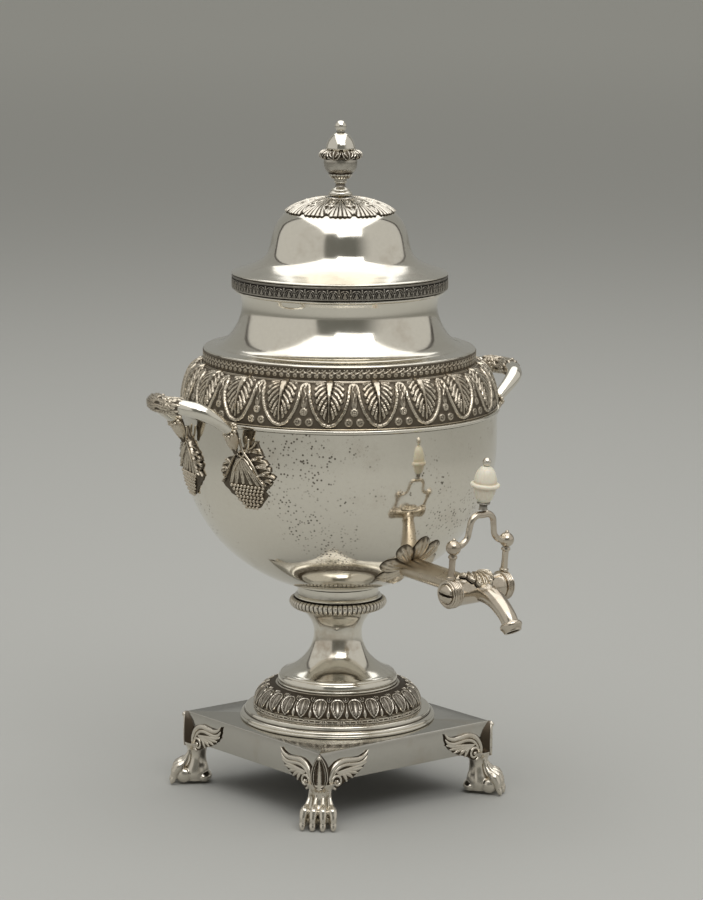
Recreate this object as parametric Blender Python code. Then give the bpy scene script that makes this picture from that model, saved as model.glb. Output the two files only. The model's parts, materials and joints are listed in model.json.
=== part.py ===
"""Silver tea urn on a square plinth with four winged paw feet, built piece by piece.

The urn stands on the floor at z = 0, its tap towards -Y and its handles towards +X and -X.
All lengths are in metres.
"""

import math

import bmesh
import bpy
from mathutils import Matrix, Vector

# General
SEAT = 0.0003
OVERRUN = 0.002
LARGE_SIDES = 28
NECK_SIDES = 24
PEDESTAL_SIDES = 20
SMALL_SIDES = 16
TUBE_SIDES = 10
SMOOTH_ANGLE = math.radians(40)

# Finishes: colour, roughness, metallic
SILVER = ((0.70, 0.67, 0.61), 0.24, 1.0)
DARK_SILVER = ((0.42, 0.38, 0.32), 0.36, 1.0)
IVORY = ((0.84, 0.79, 0.66), 0.35, 0.0)
IRON = ((0.10, 0.09, 0.09), 0.65, 1.0)
BRASS = ((0.62, 0.45, 0.20), 0.35, 1.0)

# Plinth: a square tray turned upside down
PLINTH_HALF = 0.0714
PLINTH_BASE = 0.0286
PLINTH_HEIGHT = 0.0202
PLINTH_WALL = 0.0024
PLINTH_HOLE_RADIUS = 0.030

# Paw feet, set on the diagonals of the plinth
FOOT_INSET = 0.0020
FOOT_RADIUS = math.hypot(PLINTH_HALF, PLINTH_HALF) - FOOT_INSET
FOOT_HALF_LENGTH = 0.0130
FOOT_HALF_WIDTH = 0.0130
FOOT_SECTION_POINTS = 12
# Share of the foot's height, then centre, half length and half width as shares
FOOT_SECTION_SHARES = (
    (0.00, 0.995, 0.80, 0.86),
    (0.12, 1.000, 0.94, 0.98),
    (0.34, 1.000, 0.95, 1.00),
    (0.50, 0.975, 0.72, 0.80),
    (0.64, 0.955, 0.48, 0.56),
    (0.82, 0.955, 0.50, 0.58),
    (1.00, 0.945, 0.76, 0.84),
)
TOE_COUNT = 4
TOE_RADIUS = 0.0030
TOE_SPREAD = 0.0098
TOE_ROUNDING_SHARE = 0.25
TOE_SIDES = 6
# Reach from the ankle to the toe tip, height and thickness along one toe, as shares
TOE_PATH_SHARES = (
    (0.45, 0.60, 0.65),
    (0.76, 0.46, 1.15),
    (0.94, 0.36, 1.05),
    (0.96, 0.24, 0.75),
    (0.92, 0.08, 0.75),
)
WING_THICKNESS = 0.0015
WING_LENGTH = 0.0395
WING_DEPTH = 0.0250
# Outline of one wing: distance from the corner and depth below the plinth's top, as shares
WING_SHARES = (
    (0.00, 0.48),
    (0.12, 0.48),
    (0.21, 0.41),
    (0.31, 0.28),
    (0.42, 0.22),
    (0.64, 0.24),
    (0.82, 0.25),
    (0.93, 0.18),
    (1.00, 0.10),
    (0.99, 0.28),
    (0.95, 0.46),
    (0.89, 0.58),
    (0.70, 0.77),
    (0.52, 0.85),
    (0.43, 0.92),
    (0.35, 1.00),
    (0.26, 0.98),
    (0.20, 0.90),
    (0.00, 0.90),
)
CREST_HALF_WIDTH = 0.0057
CREST_HEIGHT = 0.0236
CREST_PROUD = 0.0030
CREST_DEPTH = 0.0080
# Outline of the pointed oval at the corner: half width and height, as shares
CREST_SHARES = (
    (0.30, 0.02),
    (0.75, 0.12),
    (1.00, 0.32),
    (0.98, 0.52),
    (0.80, 0.72),
    (0.45, 0.90),
    (0.10, 1.00),
)

# Pedestal: step, lotus ring, fillet, stem, gadroon ring and the collar under the bowl
PEDESTAL_PIECES = 6
STEP_RADIUS = 0.0648
STEP_HEIGHT = 0.0100
STEP_INNER_RADIUS = 0.0500
STEP_SHARES = (
    (0.985, 0.00),
    (1.000, 0.20),
    (0.985, 0.42),
    (0.948, 0.54),
    (0.948, 0.92),
    (0.935, 1.00),
)
LOTUS_RADIUS = 0.0560
LOTUS_HEIGHT = 0.0161
LOTUS_INNER_RADIUS = 0.0385
LOTUS_SHARES = (
    (1.000, 0.00),
    (1.000, 0.17),
    (0.968, 0.19),
    (0.977, 0.30),
    (0.955, 0.50),
    (0.905, 0.72),
    (0.768, 1.00),
)
FILLET_RADIUS = 0.0428
FILLET_HEIGHT = 0.0038
FILLET_SHARES = ((1.0, 0.0), (0.998, 0.45), (0.966, 1.0))
STEM_RADIUS = 0.0412
STEM_HEIGHT = 0.0430
STEM_WALL = 0.0012
STEM_SHARES = (
    (1.000, 0.000),
    (0.959, 0.030),
    (0.862, 0.100),
    (0.668, 0.181),
    (0.524, 0.277),
    (0.440, 0.400),
    (0.388, 0.570),
    (0.435, 0.770),
    (0.534, 1.000),
)
GADROON_RADIUS = 0.0317
GADROON_HEIGHT = 0.0070
GADROON_INNER_RADIUS = 0.0200
GADROON_SHARES = (
    (0.820, 0.00),
    (0.950, 0.20),
    (1.000, 0.47),
    (0.985, 0.75),
    (0.912, 1.00),
)
COLLAR_FOOT_RADIUS = 0.0289
COLLAR_RADIUS = 0.0268
COLLAR_INNER_RADIUS = 0.0243
COLLAR_FLARE_HEIGHT = 0.0020

# Bowl: half an ellipsoid with a short straight rim
BOWL_RADIUS = 0.1037
BOWL_DEPTH = 0.1000
BOWL_CLEARANCE = 0.0045
BOWL_BASE = (
    PLINTH_BASE
    + PLINTH_HEIGHT
    + STEP_HEIGHT
    + LOTUS_HEIGHT
    + FILLET_HEIGHT
    + STEM_HEIGHT
    + GADROON_HEIGHT
    + PEDESTAL_PIECES * SEAT
    + BOWL_CLEARANCE
)
BOWL_STRAIGHT = 0.0205
BOWL_WALL = 0.0015
BOWL_STEPS = 10
BOWL_INNER_STEPS = 6
BOWL_RIM = BOWL_BASE + BOWL_DEPTH + BOWL_STRAIGHT
WIRE_PROUD = 0.0016
WIRE_HEIGHT = 0.0027
WIRE_RADIUS = BOWL_RADIUS + WIRE_PROUD
WIRE_INSET = 0.0022
WIRE_INNER_RADIUS = BOWL_RADIUS - WIRE_INSET
WIRE_SHARES = ((0.987, 0.0), (1.0, 0.5), (0.987, 1.0))

# Shoulder and neck
FRIEZE_INSET = 0.0004
FRIEZE_RADIUS = BOWL_RADIUS - FRIEZE_INSET
FRIEZE_HEIGHT = 0.0285
FRIEZE_WALL = 0.0020
FRIEZE_SHARES = (
    (1.000, 0.00),
    (1.000, 0.05),
    (0.998, 0.18),
    (0.991, 0.385),
    (0.976, 0.60),
    (0.952, 0.775),
    (0.918, 0.925),
    (0.880, 0.985),
    (0.845, 1.00),
)
FRIEZE_INNER_STEP = 4
FRIEZE_LEAVES = 20
FRIEZE_TURN = math.radians(-96.3)
FRIEZE_RELIEF = 0.0012
# Place across half a leaf, then how far each row of the outline stands out there, as shares
FRIEZE_RELIEF_SHARES = (
    (0.00, (0.0, 0.5, 0.90, 0.90, 1.00, 1.00, 1.0, 0.3, 0.0)),
    (0.22, (0.0, 0.5, 0.95, 0.80, 0.90, 0.90, 0.9, 0.3, 0.0)),
    (0.50, (0.0, 0.5, 0.30, 0.50, 0.80, 0.85, 0.8, 0.2, 0.0)),
    (0.64, (0.0, 0.5, 0.30, 0.75, 0.20, 0.15, 0.2, 0.1, 0.0)),
    (0.74, (0.0, 0.5, 0.60, 0.50, 0.95, 1.00, 1.0, 0.3, 0.0)),
    (0.84, (0.0, 0.5, 0.60, 0.20, 0.15, 0.15, 0.6, 0.3, 0.0)),
    (1.00, (0.0, 0.5, 0.20, 0.65, 0.35, 0.45, 0.9, 0.3, 0.0)),
)
FRET_RADIUS_SHARE = 0.8664
FRET_RADIUS = FRIEZE_RADIUS * FRET_RADIUS_SHARE
FRET_HEIGHT = 0.0084
FRET_WIDTH = 0.0030
FRET_INNER_RADIUS = FRET_RADIUS - FRET_WIDTH
FRET_SHARES = ((1.0, 0.0), (1.0, 1.0))
NECK_INSET = 0.0002
NECK_RADIUS = FRET_RADIUS - NECK_INSET
NECK_HEIGHT = 0.0367
NECK_WALL = 0.0015
NECK_SHARES = (
    (1.000, 0.000),
    (0.897, 0.060),
    (0.854, 0.128),
    (0.819, 0.250),
    (0.752, 0.410),
    (0.723, 0.564),
    (0.711, 0.708),
    (0.739, 1.000),
)
NECK_TOP_RADIUS = NECK_RADIUS * NECK_SHARES[-1][0]
NECK_RIM_PROUD = 0.0028
NECK_RIM_WIDTH = 0.0065
NECK_RIM_RADIUS = NECK_TOP_RADIUS + NECK_RIM_PROUD
NECK_RIM_HEIGHT = 0.0024
NECK_RIM_INNER_RADIUS = NECK_RIM_RADIUS - NECK_RIM_WIDTH
NECK_RIM_SHARES = ((0.965, 0.0), (1.0, 0.5), (0.965, 1.0))

# Lid and finial
LID_BAND_PROUD = 0.0018
LID_BAND_RADIUS = NECK_RIM_RADIUS + LID_BAND_PROUD
LID_BAND_HEIGHT = 0.0090
LID_BAND_SHARES = ((1.0, 0.0), (1.0, 1.0))
BEZEL_CLEARANCE = 0.0011
BEZEL_RADIUS = NECK_RIM_INNER_RADIUS - BEZEL_CLEARANCE
BEZEL_WALL = 0.0012
BEZEL_DROP = 0.0120
LID_PROUD = 0.0001
LID_RADIUS = LID_BAND_RADIUS + LID_PROUD
LID_HEIGHT = 0.0489
LID_WALL = 0.0012
LID_SHARES = (
    (1.000, 0.000),
    (0.908, 0.055),
    (0.776, 0.127),
    (0.680, 0.188),
    (0.648, 0.310),
    (0.626, 0.490),
    (0.597, 0.640),
    (0.530, 0.771),
    (0.484, 0.832),
    (0.417, 0.894),
    (0.290, 0.951),
    (0.032, 1.000),
)
CALYX_THICKNESS = 0.0012
CALYX_INNER_RADIUS = 0.0045
CALYX_RADIUS_SHARE = 0.535
CALYX_RADIUS = LID_RADIUS * CALYX_RADIUS_SHARE
CALYX_LEAVES = 12
CALYX_SCALLOP_SHARE = 0.8
FINIAL_FOOT_RADIUS = 0.0078
FINIAL_FOOT_HEIGHT = 0.0106
FINIAL_FOOT_SHARES = (
    (1.00, 0.00),
    (1.00, 0.16),
    (0.77, 0.24),
    (0.77, 0.36),
    (0.42, 0.56),
    (0.55, 0.84),
    (0.50, 1.00),
)
CUP_RADIUS = 0.0110
CUP_HEIGHT = 0.0128
CUP_SHARES = (
    (0.44, 0.00),
    (0.72, 0.30),
    (0.93, 0.66),
    (1.00, 0.90),
    (0.97, 1.00),
)
LEAF_COLLAR_RADIUS = 0.0145
LEAF_COLLAR_HEIGHT = 0.0054
LEAF_COLLAR_LEAVES = 8
LEAF_COLLAR_SCALLOP_SHARE = 0.7
LEAF_COLLAR_SHARES = ((0.72, 0.00), (1.00, 0.30), (0.94, 0.60), (0.62, 1.00))
BUD_RADIUS = 0.0096
BUD_HEIGHT = 0.0116
BUD_SHARES = (
    (0.80, 0.00),
    (1.00, 0.14),
    (0.92, 0.38),
    (0.66, 0.72),
    (0.30, 1.00),
)
FINIAL_BALL_RADIUS = 0.0039
BALL_FLAT_SHARE = 0.86
STUD_RADIUS = 0.0015
STUD_CLEARANCE = 0.0003
STUD_IN_BUD = 0.0060
NUT_RADIUS = 0.0042
NUT_HEIGHT = 0.0032
NUT_SIDES = 6
STUD_BELOW_NUT = 0.0012

# Handles: a grip between two sockets, each on a vine leaf on the bowl
HANDLE_SPREAD = 0.0296
HANDLE_PROUD = 0.0076
HANDLE_ROOT = BOWL_RADIUS + HANDLE_PROUD
HANDLE_LENGTH = 0.0305
HANDLE_OVER_RIM = 0.0005
HANDLE_BEAD_Z = BOWL_RIM + HANDLE_OVER_RIM
HANDLE_RISE = 0.0160
GRIP_RADIUS = 0.0052
GRIP_STEPS = 2
# Half of the grip: outwards and upwards from the bead to the apex, spread, thickness
GRIP_SHARES = (
    (0.00, 0.00, 1.000, 0.72),
    (0.35, 0.50, 0.970, 0.88),
    (0.62, 0.82, 0.845, 1.00),
    (0.84, 0.97, 0.540, 0.98),
    (1.00, 1.00, 0.000, 0.92),
)
WRAP_THICKNESS = 0.0016
WRAP_REACH_SHARE = 0.60
WRAP_END_SHARE = 0.50
BEAD_RADIUS = 0.0052
BEAD_LENGTH = 0.0030
BEAD_EDGE_SHARE = 0.2
SOCKET_RADIUS = 0.0030
SOCKET_STEPS = 2
SOCKET_BEND_SHARE = 0.6
SOCKET_FOOT_RADIUS = 0.0024
SOCKET_INSET = 0.0049
SOCKET_FOOT_X = HANDLE_ROOT - SOCKET_INSET
SOCKET_FOOT_Y = 0.0279
SOCKET_BELOW_BEAD = 0.0108
SOCKET_FOOT_Z = HANDLE_BEAD_Z - SOCKET_BELOW_BEAD
LEAF_TURN = math.radians(17.2)
LEAF_HALF_WIDTH = 0.0220
LEAF_HEIGHT = 0.0514
LEAF_TIP_Z = BOWL_RIM - LEAF_HEIGHT
LEAF_THICKNESS = 0.0018
LEAF_COLUMNS = 6
# Height of each row, its left and right ends, as shares of the leaf's size
LEAF_ROW_SHARES = (
    (0.00, 0.02, 0.23),
    (0.07, -0.18, 0.46),
    (0.19, -0.60, 0.64),
    (0.32, -1.00, 0.82),
    (0.45, -0.98, 1.00),
    (0.58, -0.82, 0.85),
    (0.72, -0.38, 0.66),
    (0.86, -0.10, 0.46),
    (1.00, 0.02, 0.28),
)
GRAPES_PROUD = 0.0042
GRAPES_CENTRE_SHARES = (0.18, 0.26)
GRAPES_SIZE_SHARES = (0.42, 0.24)
STALK_RADIUS = 0.0021
STALK_FOOT_SHARE = 0.56

# Tap
BARREL_PROUD = 0.0358
BARREL_Y = -(BOWL_RADIUS + BARREL_PROUD)
BARREL_RISE_SHARE = 0.236
BARREL_Z = BOWL_BASE + BOWL_DEPTH * BARREL_RISE_SHARE
BARREL_RADIUS = 0.0086
BARREL_HALF = 0.0190
BORE_WIDE_RADIUS = 0.0064
BORE_NARROW_RADIUS = 0.0059
PIPE_SLOPE = math.radians(3.0)
PIPE_RADIUS = 0.0069
PIPE_BORE_RADIUS = 0.0042
PIPE_INSET = 0.0442
PIPE_START = PIPE_INSET + BARREL_PROUD
ROSETTE_PLACE_SHARE = 0.712
ROSETTE_Y = -BOWL_RADIUS * ROSETTE_PLACE_SHARE
ROSETTE_RADIUS = 0.0230
ROSETTE_STRETCH_SHARE = 1.18
ROSETTE_LEAVES = 8
ROSETTE_LEAF_POINTS = 3
ROSETTE_SCALLOP_SHARE = 0.26
ROSETTE_RINGS_SHARES = ((0.36, 1.0), (0.70, 1.1), (1.00, 0.45))
ROSETTE_THICKNESS = 0.0034
SPOUT_RADIUS = 0.0058
SPOUT_BORE_RADIUS = 0.0042
SPOUT_STEPS = 2
SPOUT_LENGTH = 0.0324
SPOUT_DROP = 0.0157
# Reach and drop from the barrel's centre along the spout, thickness, as shares
SPOUT_SHARES = (
    (0.000, 0.000, 1.16),
    (0.410, 0.100, 1.10),
    (0.586, 0.242, 1.04),
    (0.728, 0.427, 1.00),
    (0.858, 0.637, 0.96),
    (0.966, 0.879, 0.94),
    (1.000, 1.000, 0.94),
)
LIP_RADIUS = 0.0076
LIP_HEIGHT = 0.0063
LIP_SHARES = (
    (0.74, 0.00),
    (0.76, 0.14),
    (0.92, 0.48),
    (1.00, 0.64),
    (1.00, 0.84),
    (0.84, 1.00),
)
SHELL_HALF_WIDTH = 0.0126
SHELL_FRONT = 0.0128
SHELL_BACK = 0.0045
SHELL_THICKNESS = 0.0020
SHELL_SPOKES = 16
# Distance from the shell's hub and its thickness there, as shares
SHELL_RING_SHARES = ((0.0, 1.8), (0.2, 1.7), (0.4, 1.5), (0.6, 1.2), (0.8, 0.9), (1.0, 0.4))

# Tap key: plug, two legs, yoke and ivory knob, turned about the barrel's axis
KEY_TILT = math.radians(6)
PLUG_CLEARANCE = 0.0003
PLUG_PORT_RADIUS = 0.0036
SPIGOT_RADIUS = 0.0040
COLLAR_RING_RADIUS = 0.0094
COLLAR_RING_WIDTH = 0.0050
POST_X = 0.0220
POST_RADIUS = 0.00215
POST_SIDES = 12
SCREW_WASHER_RADIUS = 0.0084
SCREW_WASHER_WIDTH = 0.0006
SCREW_HEAD_RADIUS = 0.0064
SCREW_HEAD_WIDTH = 0.0026
SCREW_SHANK_RADIUS = 0.0018
SCREW_SHANK_LENGTH = 0.0070
SCREW_STEPS = 4
YOKE_BALL_RADIUS = 0.0048
YOKE_BALL_Z = 0.0300
YOKE_ARM_RADIUS = 0.0026
YOKE_RISE = 0.0190
# Half of the yoke's bow: sideways from its middle, and upwards from the ball
YOKE_SHARES = (
    (1.000, 0.00),
    (0.720, 0.04),
    (0.500, 0.24),
    (0.445, 0.58),
    (0.400, 0.86),
    (0.215, 1.02),
    (0.000, 1.00),
)
YOKE_STEPS = 2
KNOB_SOCKET_RADIUS = 0.0042
KNOB_SOCKET_HEIGHT = 0.0050
KNOB_SOCKET_SHARES = ((0.70, 0.00), (0.62, 0.20), (0.62, 0.62), (1.00, 0.80), (1.00, 1.00))
KNOB_RADIUS = 0.0094
KNOB_HEIGHT = 0.0230
KNOB_SHARES = (
    (0.43, 0.00),
    (0.68, 0.20),
    (0.78, 0.40),
    (0.95, 0.41),
    (1.00, 0.47),
    (0.95, 0.53),
    (0.76, 0.54),
    (0.66, 0.78),
    (0.44, 0.95),
    (0.30, 1.00),
)
KNOB_PIN_RADIUS = 0.0012
KNOB_BALL_RADIUS = 0.0028

# Heater: a sleeve in the bowl and the iron that stands in it
SLEEVE_RADIUS = 0.0215
SLEEVE_WALL = 0.0012
SLEEVE_HEIGHT = 0.1600
IRON_RADIUS = 0.0185
IRON_HEIGHT = 0.1300
IRON_CHAMFER = 0.0015
EYE_RADIUS = 0.0070
EYE_THICKNESS = 0.0020
EYE_STEM_HEIGHT = 0.0040
EYE_STEPS = 12


def clear_scene():
    """Removes what the scene holds before the urn is made."""
    for item in list(bpy.data.objects):
        bpy.data.objects.remove(item, do_unlink=True)


def finish_of(name, finish):
    """Material of one piece, from a colour, a roughness and a metallic value."""
    colour, roughness, metallic = finish
    material = bpy.data.materials.new(name)
    material.use_nodes = True
    shader = material.node_tree.nodes["Principled BSDF"]
    shader.inputs["Base Color"].default_value = (*colour, 1.0)
    shader.inputs["Roughness"].default_value = roughness
    shader.inputs["Metallic"].default_value = metallic
    return material


def axis_empty(name, parent, location=(0, 0, 0), rotation=(0, 0, 0)):
    """Empty that carries pieces, placed under its parent."""
    empty = bpy.data.objects.new(name, None)
    empty.location = location
    empty.rotation_euler = rotation
    empty.parent = parent
    bpy.context.collection.objects.link(empty)
    return empty


def piece(name, mesh, finish, parent, location=(0, 0, 0), rotation=(0, 0, 0)):
    """Named object of one mesh with its own material, smooth where it is round."""
    mesh.name = name
    mesh.shade_smooth()
    mesh.set_sharp_from_angle(angle=SMOOTH_ANGLE)
    mesh.materials.clear()
    mesh.materials.append(finish_of(name, finish))
    item = bpy.data.objects.new(name, mesh)
    item.location = location
    item.rotation_euler = rotation
    item.parent = parent
    bpy.context.collection.objects.link(item)
    return item


def mesh_of(form):
    """Mesh of a finished bmesh, with its faces turned outwards."""
    bmesh.ops.recalc_face_normals(form, faces=form.faces)
    mesh = bpy.data.meshes.new("form")
    form.to_mesh(mesh)
    form.free()
    return mesh


def combined(base, others, operation):
    """Mesh of the base after each other mesh is joined to it or cut from it."""
    holder = bpy.data.objects.new("holder", base)
    tools = [bpy.data.objects.new("tool", other) for other in others]
    for item in (holder, *tools):
        bpy.context.collection.objects.link(item)
    for tool in tools:
        modifier = holder.modifiers.new("combine", "BOOLEAN")
        modifier.operation = operation
        modifier.solver = "EXACT"
        modifier.object = tool
    bpy.context.view_layer.update()
    evaluated = holder.evaluated_get(bpy.context.evaluated_depsgraph_get())
    mesh = bpy.data.meshes.new_from_object(evaluated)
    for item in (holder, *tools):
        bpy.data.objects.remove(item, do_unlink=True)
    return mesh


def moved(mesh, matrix):
    """The same mesh after a move."""
    mesh.transform(matrix)
    if matrix.determinant() < 0:
        mesh.flip_normals()
    return mesh


def profile(shares, radius, base, height):
    """Outline of a turned piece, bottom to top, from its shares and named sizes."""
    return [(radius * out, base + height * up) for out, up in shares]


def offset(outline, distance):
    """Outline moved outwards, square to its run."""
    moved_points = []
    for index, (radius, height) in enumerate(outline):
        before = outline[max(index - 1, 0)]
        after = outline[min(index + 1, len(outline) - 1)]
        run = Vector((after[0] - before[0], after[1] - before[1])).normalized()
        moved_points.append((radius + distance * run.y, height - distance * run.x))
    return moved_points


def band(outline, inner_radius):
    """Closed section between an outer outline and a straight bore."""
    return [(inner_radius, outline[0][1]), *outline, (inner_radius, outline[-1][1])]


def shell(outline, wall):
    """Closed section of a sheet that follows an outer outline, level at both ends."""
    low = min(outline[0][1], outline[-1][1])
    high = max(outline[0][1], outline[-1][1])
    inside = [(radius, min(max(up, low), high)) for radius, up in offset(outline, -wall)]
    return outline + inside[::-1]


def turned(section, sides, lobes=0, dips=()):
    """Mesh of a closed section turned about the Z axis; a point at radius 0 lies on the axis.

    Each dip is (row, neighbour, share): between the lobes, the points of that row of the
    section slide by that share towards the neighbouring row.
    """
    form = bmesh.new()
    slides = {row % len(section): (neighbour, share) for row, neighbour, share in dips}
    rows = []
    for index, (radius, height) in enumerate(section):
        if radius == 0:
            rows.append([form.verts.new((0, 0, height))] * sides)
            continue
        row = []
        for step in range(sides):
            angle = 2 * math.pi * step / sides
            out = radius
            up = height
            if index in slides:
                neighbour, share = slides[index]
                share *= 1 - abs(math.cos(lobes * angle / 2))
                out += share * (section[neighbour][0] - radius)
                up += share * (section[neighbour][1] - height)
            row.append(form.verts.new((out * math.cos(angle), out * math.sin(angle), up)))
        rows.append(row)
    for lower, upper in zip(rows, rows[1:] + rows[:1]):
        for step in range(sides):
            following = (step + 1) % sides
            corners = [lower[step], lower[following], upper[following], upper[step]]
            corners = list(dict.fromkeys(corners))
            if len(corners) > 2:
                form.faces.new(corners)
    return mesh_of(form)


def chased_ring(outline, raised, inside):
    """Mesh of the frieze: leaves between arches, repeated round the Z axis.

    A point of the outer side lies between the plain outline and the raised one, by its share.
    """
    half = FRIEZE_RELIEF_SHARES
    columns = [*half, *((2 - place, shares) for place, shares in half[-2:0:-1])]
    rings = []
    for leaf in range(FRIEZE_LEAVES):
        for place, shares in columns:
            angle = FRIEZE_TURN + 2 * math.pi * (leaf + place / 2) / FRIEZE_LEAVES
            section = []
            for low, high, share in zip(outline, raised, shares):
                section.append((low[0] + share * (high[0] - low[0]), low[1] + share * (high[1] - low[1])))
            section += inside
            rings.append([Vector((out * math.cos(angle), out * math.sin(angle), up)) for out, up in section])
    return lofted(rings, capped=False)


def lofted(rings, capped):
    """Mesh through rings of points: capped at both ends, or its last ring joined to its first."""
    form = bmesh.new()
    rows = [[form.verts.new(point) for point in ring] for ring in rings]
    following_rows = rows[1:] if capped else rows[1:] + rows[:1]
    for lower, upper in zip(rows, following_rows):
        for step in range(len(lower)):
            following = (step + 1) % len(lower)
            form.faces.new((lower[step], lower[following], upper[following], upper[step]))
    if capped:
        form.faces.new(rows[0])
        form.faces.new(rows[-1])
    return mesh_of(form)


def prism(outline, along):
    """Mesh of a flat outline drawn along one direction."""
    return lofted([outline, [point + along for point in outline]], capped=True)


def smooth_path(points, steps):
    """Points on a smooth curve through the given rows of numbers, steps to each stretch."""
    rows = [Vector(point) for point in points]
    path = []
    for index in range(len(rows) - 1):
        before = rows[max(index - 1, 0)]
        start = rows[index]
        end = rows[index + 1]
        after = rows[min(index + 2, len(rows) - 1)]
        for step in range(steps):
            share = step / steps
            path.append(
                0.5
                * (
                    2 * start
                    + share * (end - before)
                    + share**2 * (2 * before - 5 * start + 4 * end - after)
                    + share**3 * (3 * start - before - 3 * end + after)
                )
            )
    path.append(rows[-1])
    return path


def path_frames(points, side):
    """Two cross directions at each point of a path, carried along without twist."""
    frames = []
    across = side
    for index in range(len(points)):
        before = points[max(index - 1, 0)]
        after = points[min(index + 1, len(points) - 1)]
        along = (after - before).normalized()
        across = (across - along * across.dot(along)).normalized()
        frames.append((across, along.cross(across)))
    return frames


def ring_at(centre, frame, radius, sides):
    """Round ring of points about one point of a path."""
    across, other = frame
    ring = []
    for step in range(sides):
        angle = 2 * math.pi * step / sides
        ring.append(centre + radius * (math.cos(angle) * across + math.sin(angle) * other))
    return ring


def rod(points, radii, sides, side=Vector((1, 0, 0))):
    """Solid rod along a path."""
    frames = path_frames(points, side)
    rings = [ring_at(*row, sides) for row in zip(points, frames, radii)]
    return lofted(rings, capped=True)


def ball(centre, radius, sides=TUBE_SIDES):
    """Solid ball."""
    steps = sides // 2
    section = []
    for step in range(steps + 1):
        angle = math.pi * step / steps - math.pi / 2
        across = 0 if step in (0, steps) else radius * math.cos(angle)
        section.append((across, radius * math.sin(angle)))
    return moved(turned(section, sides), Matrix.Translation(centre))


def bowl_radius(height):
    """Outer radius of the bowl at a height."""
    below = max(BOWL_BASE + BOWL_DEPTH - height, 0)
    return BOWL_RADIUS * math.sqrt(1 - (below / BOWL_DEPTH) ** 2)


def on_bowl(start, direction, lift):
    """Point where a line first meets the bowl's belly, moved outwards by a lift."""
    centre = Vector((0, 0, BOWL_BASE + BOWL_DEPTH))
    round_radius = BOWL_RADIUS + lift
    scale = Vector((1 / round_radius, 1 / round_radius, 1 / (BOWL_DEPTH + lift)))
    origin = (start - centre) * scale
    step = direction * scale
    half = origin.dot(step) / step.dot(step)
    reach = half**2 - (origin.dot(origin) - 1) / step.dot(step)
    return start + direction * (-half - math.sqrt(reach))


def bowl_curve(inset, steps):
    """Quarter ellipse from the bowl's lowest point to its widest, moved inwards by an inset."""
    curve = []
    for step in range(steps + 1):
        angle = math.pi / 2 * step / steps
        out = math.sin(angle) if step else 0
        down = math.cos(angle)
        middle = BOWL_BASE + BOWL_DEPTH
        curve.append(((BOWL_RADIUS - inset) * out, middle - (BOWL_DEPTH - inset) * down))
    return curve


def height_on(curve, radius):
    """Height of a turned curve at a radius."""
    for inner, outer in zip(curve, curve[1:]):
        if radius <= outer[0]:
            share = (radius - inner[0]) / (outer[0] - inner[0])
            return inner[1] + (outer[1] - inner[1]) * share
    return curve[-1][1]


def bowl_section(wall):
    """Closed section of the bowl, from its lowest point over the rim and back inside."""
    outside = bowl_curve(0, BOWL_STEPS)
    inside = bowl_curve(wall, BOWL_INNER_STEPS)
    return [*outside, (BOWL_RADIUS, BOWL_RIM), (BOWL_RADIUS - wall, BOWL_RIM), *inside[::-1]]


def foot_mesh():
    """Paw foot with its two wings and its pointed oval, for the corner towards +X and +Y."""
    outward = Vector((1, 1, 0)).normalized()
    sideways = Vector((-1, 1, 0)).normalized()
    upward = Vector((0, 0, 1))
    height = PLINTH_BASE - SEAT
    rings = []
    for up, centre, length, width in FOOT_SECTION_SHARES:
        ring = []
        for step in range(FOOT_SECTION_POINTS):
            angle = 2 * math.pi * step / FOOT_SECTION_POINTS
            reach = FOOT_RADIUS * centre + FOOT_HALF_LENGTH * length * math.cos(angle)
            spread = FOOT_HALF_WIDTH * width * math.sin(angle)
            ring.append(reach * outward + spread * sideways + height * up * upward)
        rings.append(ring)
    leg = lofted(rings, capped=True)
    extras = [toe_mesh(index, outward, sideways, height) for index in range(TOE_COUNT)]
    extras += [wing_mesh(Vector((1, 0, 0)), Vector((0, 1, 0)))]
    extras += [wing_mesh(Vector((0, 1, 0)), Vector((1, 0, 0)))]
    extras.append(crest_mesh(outward, sideways))
    joined = combined(leg, extras, "UNION")
    return combined(joined, [plinth_block(SEAT)], "DIFFERENCE")


def toe_mesh(index, outward, sideways, height):
    """One toe, from the ankle over its knuckle to the claw."""
    place = 2 * index / (TOE_COUNT - 1) - 1
    points = []
    radii = []
    for reach, up, thickness in TOE_PATH_SHARES:
        out = FOOT_RADIUS + FOOT_HALF_LENGTH * (2 * reach - 1 - place**2 * reach * TOE_ROUNDING_SHARE)
        across = TOE_SPREAD * place * (1 + reach) / 2
        points.append(out * outward + across * sideways + height * up * Vector((0, 0, 1)))
        radii.append(TOE_RADIUS * thickness)
    points[-1].z = max(points[-1].z, radii[-1])
    return rod(points, radii, TOE_SIDES, sideways)


def wing_mesh(facing, towards_corner):
    """Wing that lies on the plinth's side; it faces one way and starts at the corner."""
    top = PLINTH_BASE + PLINTH_HEIGHT
    corner = PLINTH_HALF + SEAT + WING_THICKNESS
    outline = []
    for along, down in WING_SHARES:
        place = corner if along == 0 else PLINTH_HALF - WING_LENGTH * along
        outline.append(
            facing * (PLINTH_HALF + SEAT) + towards_corner * place + Vector((0, 0, top - WING_DEPTH * down))
        )
    return prism(outline, facing * WING_THICKNESS)


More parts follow.
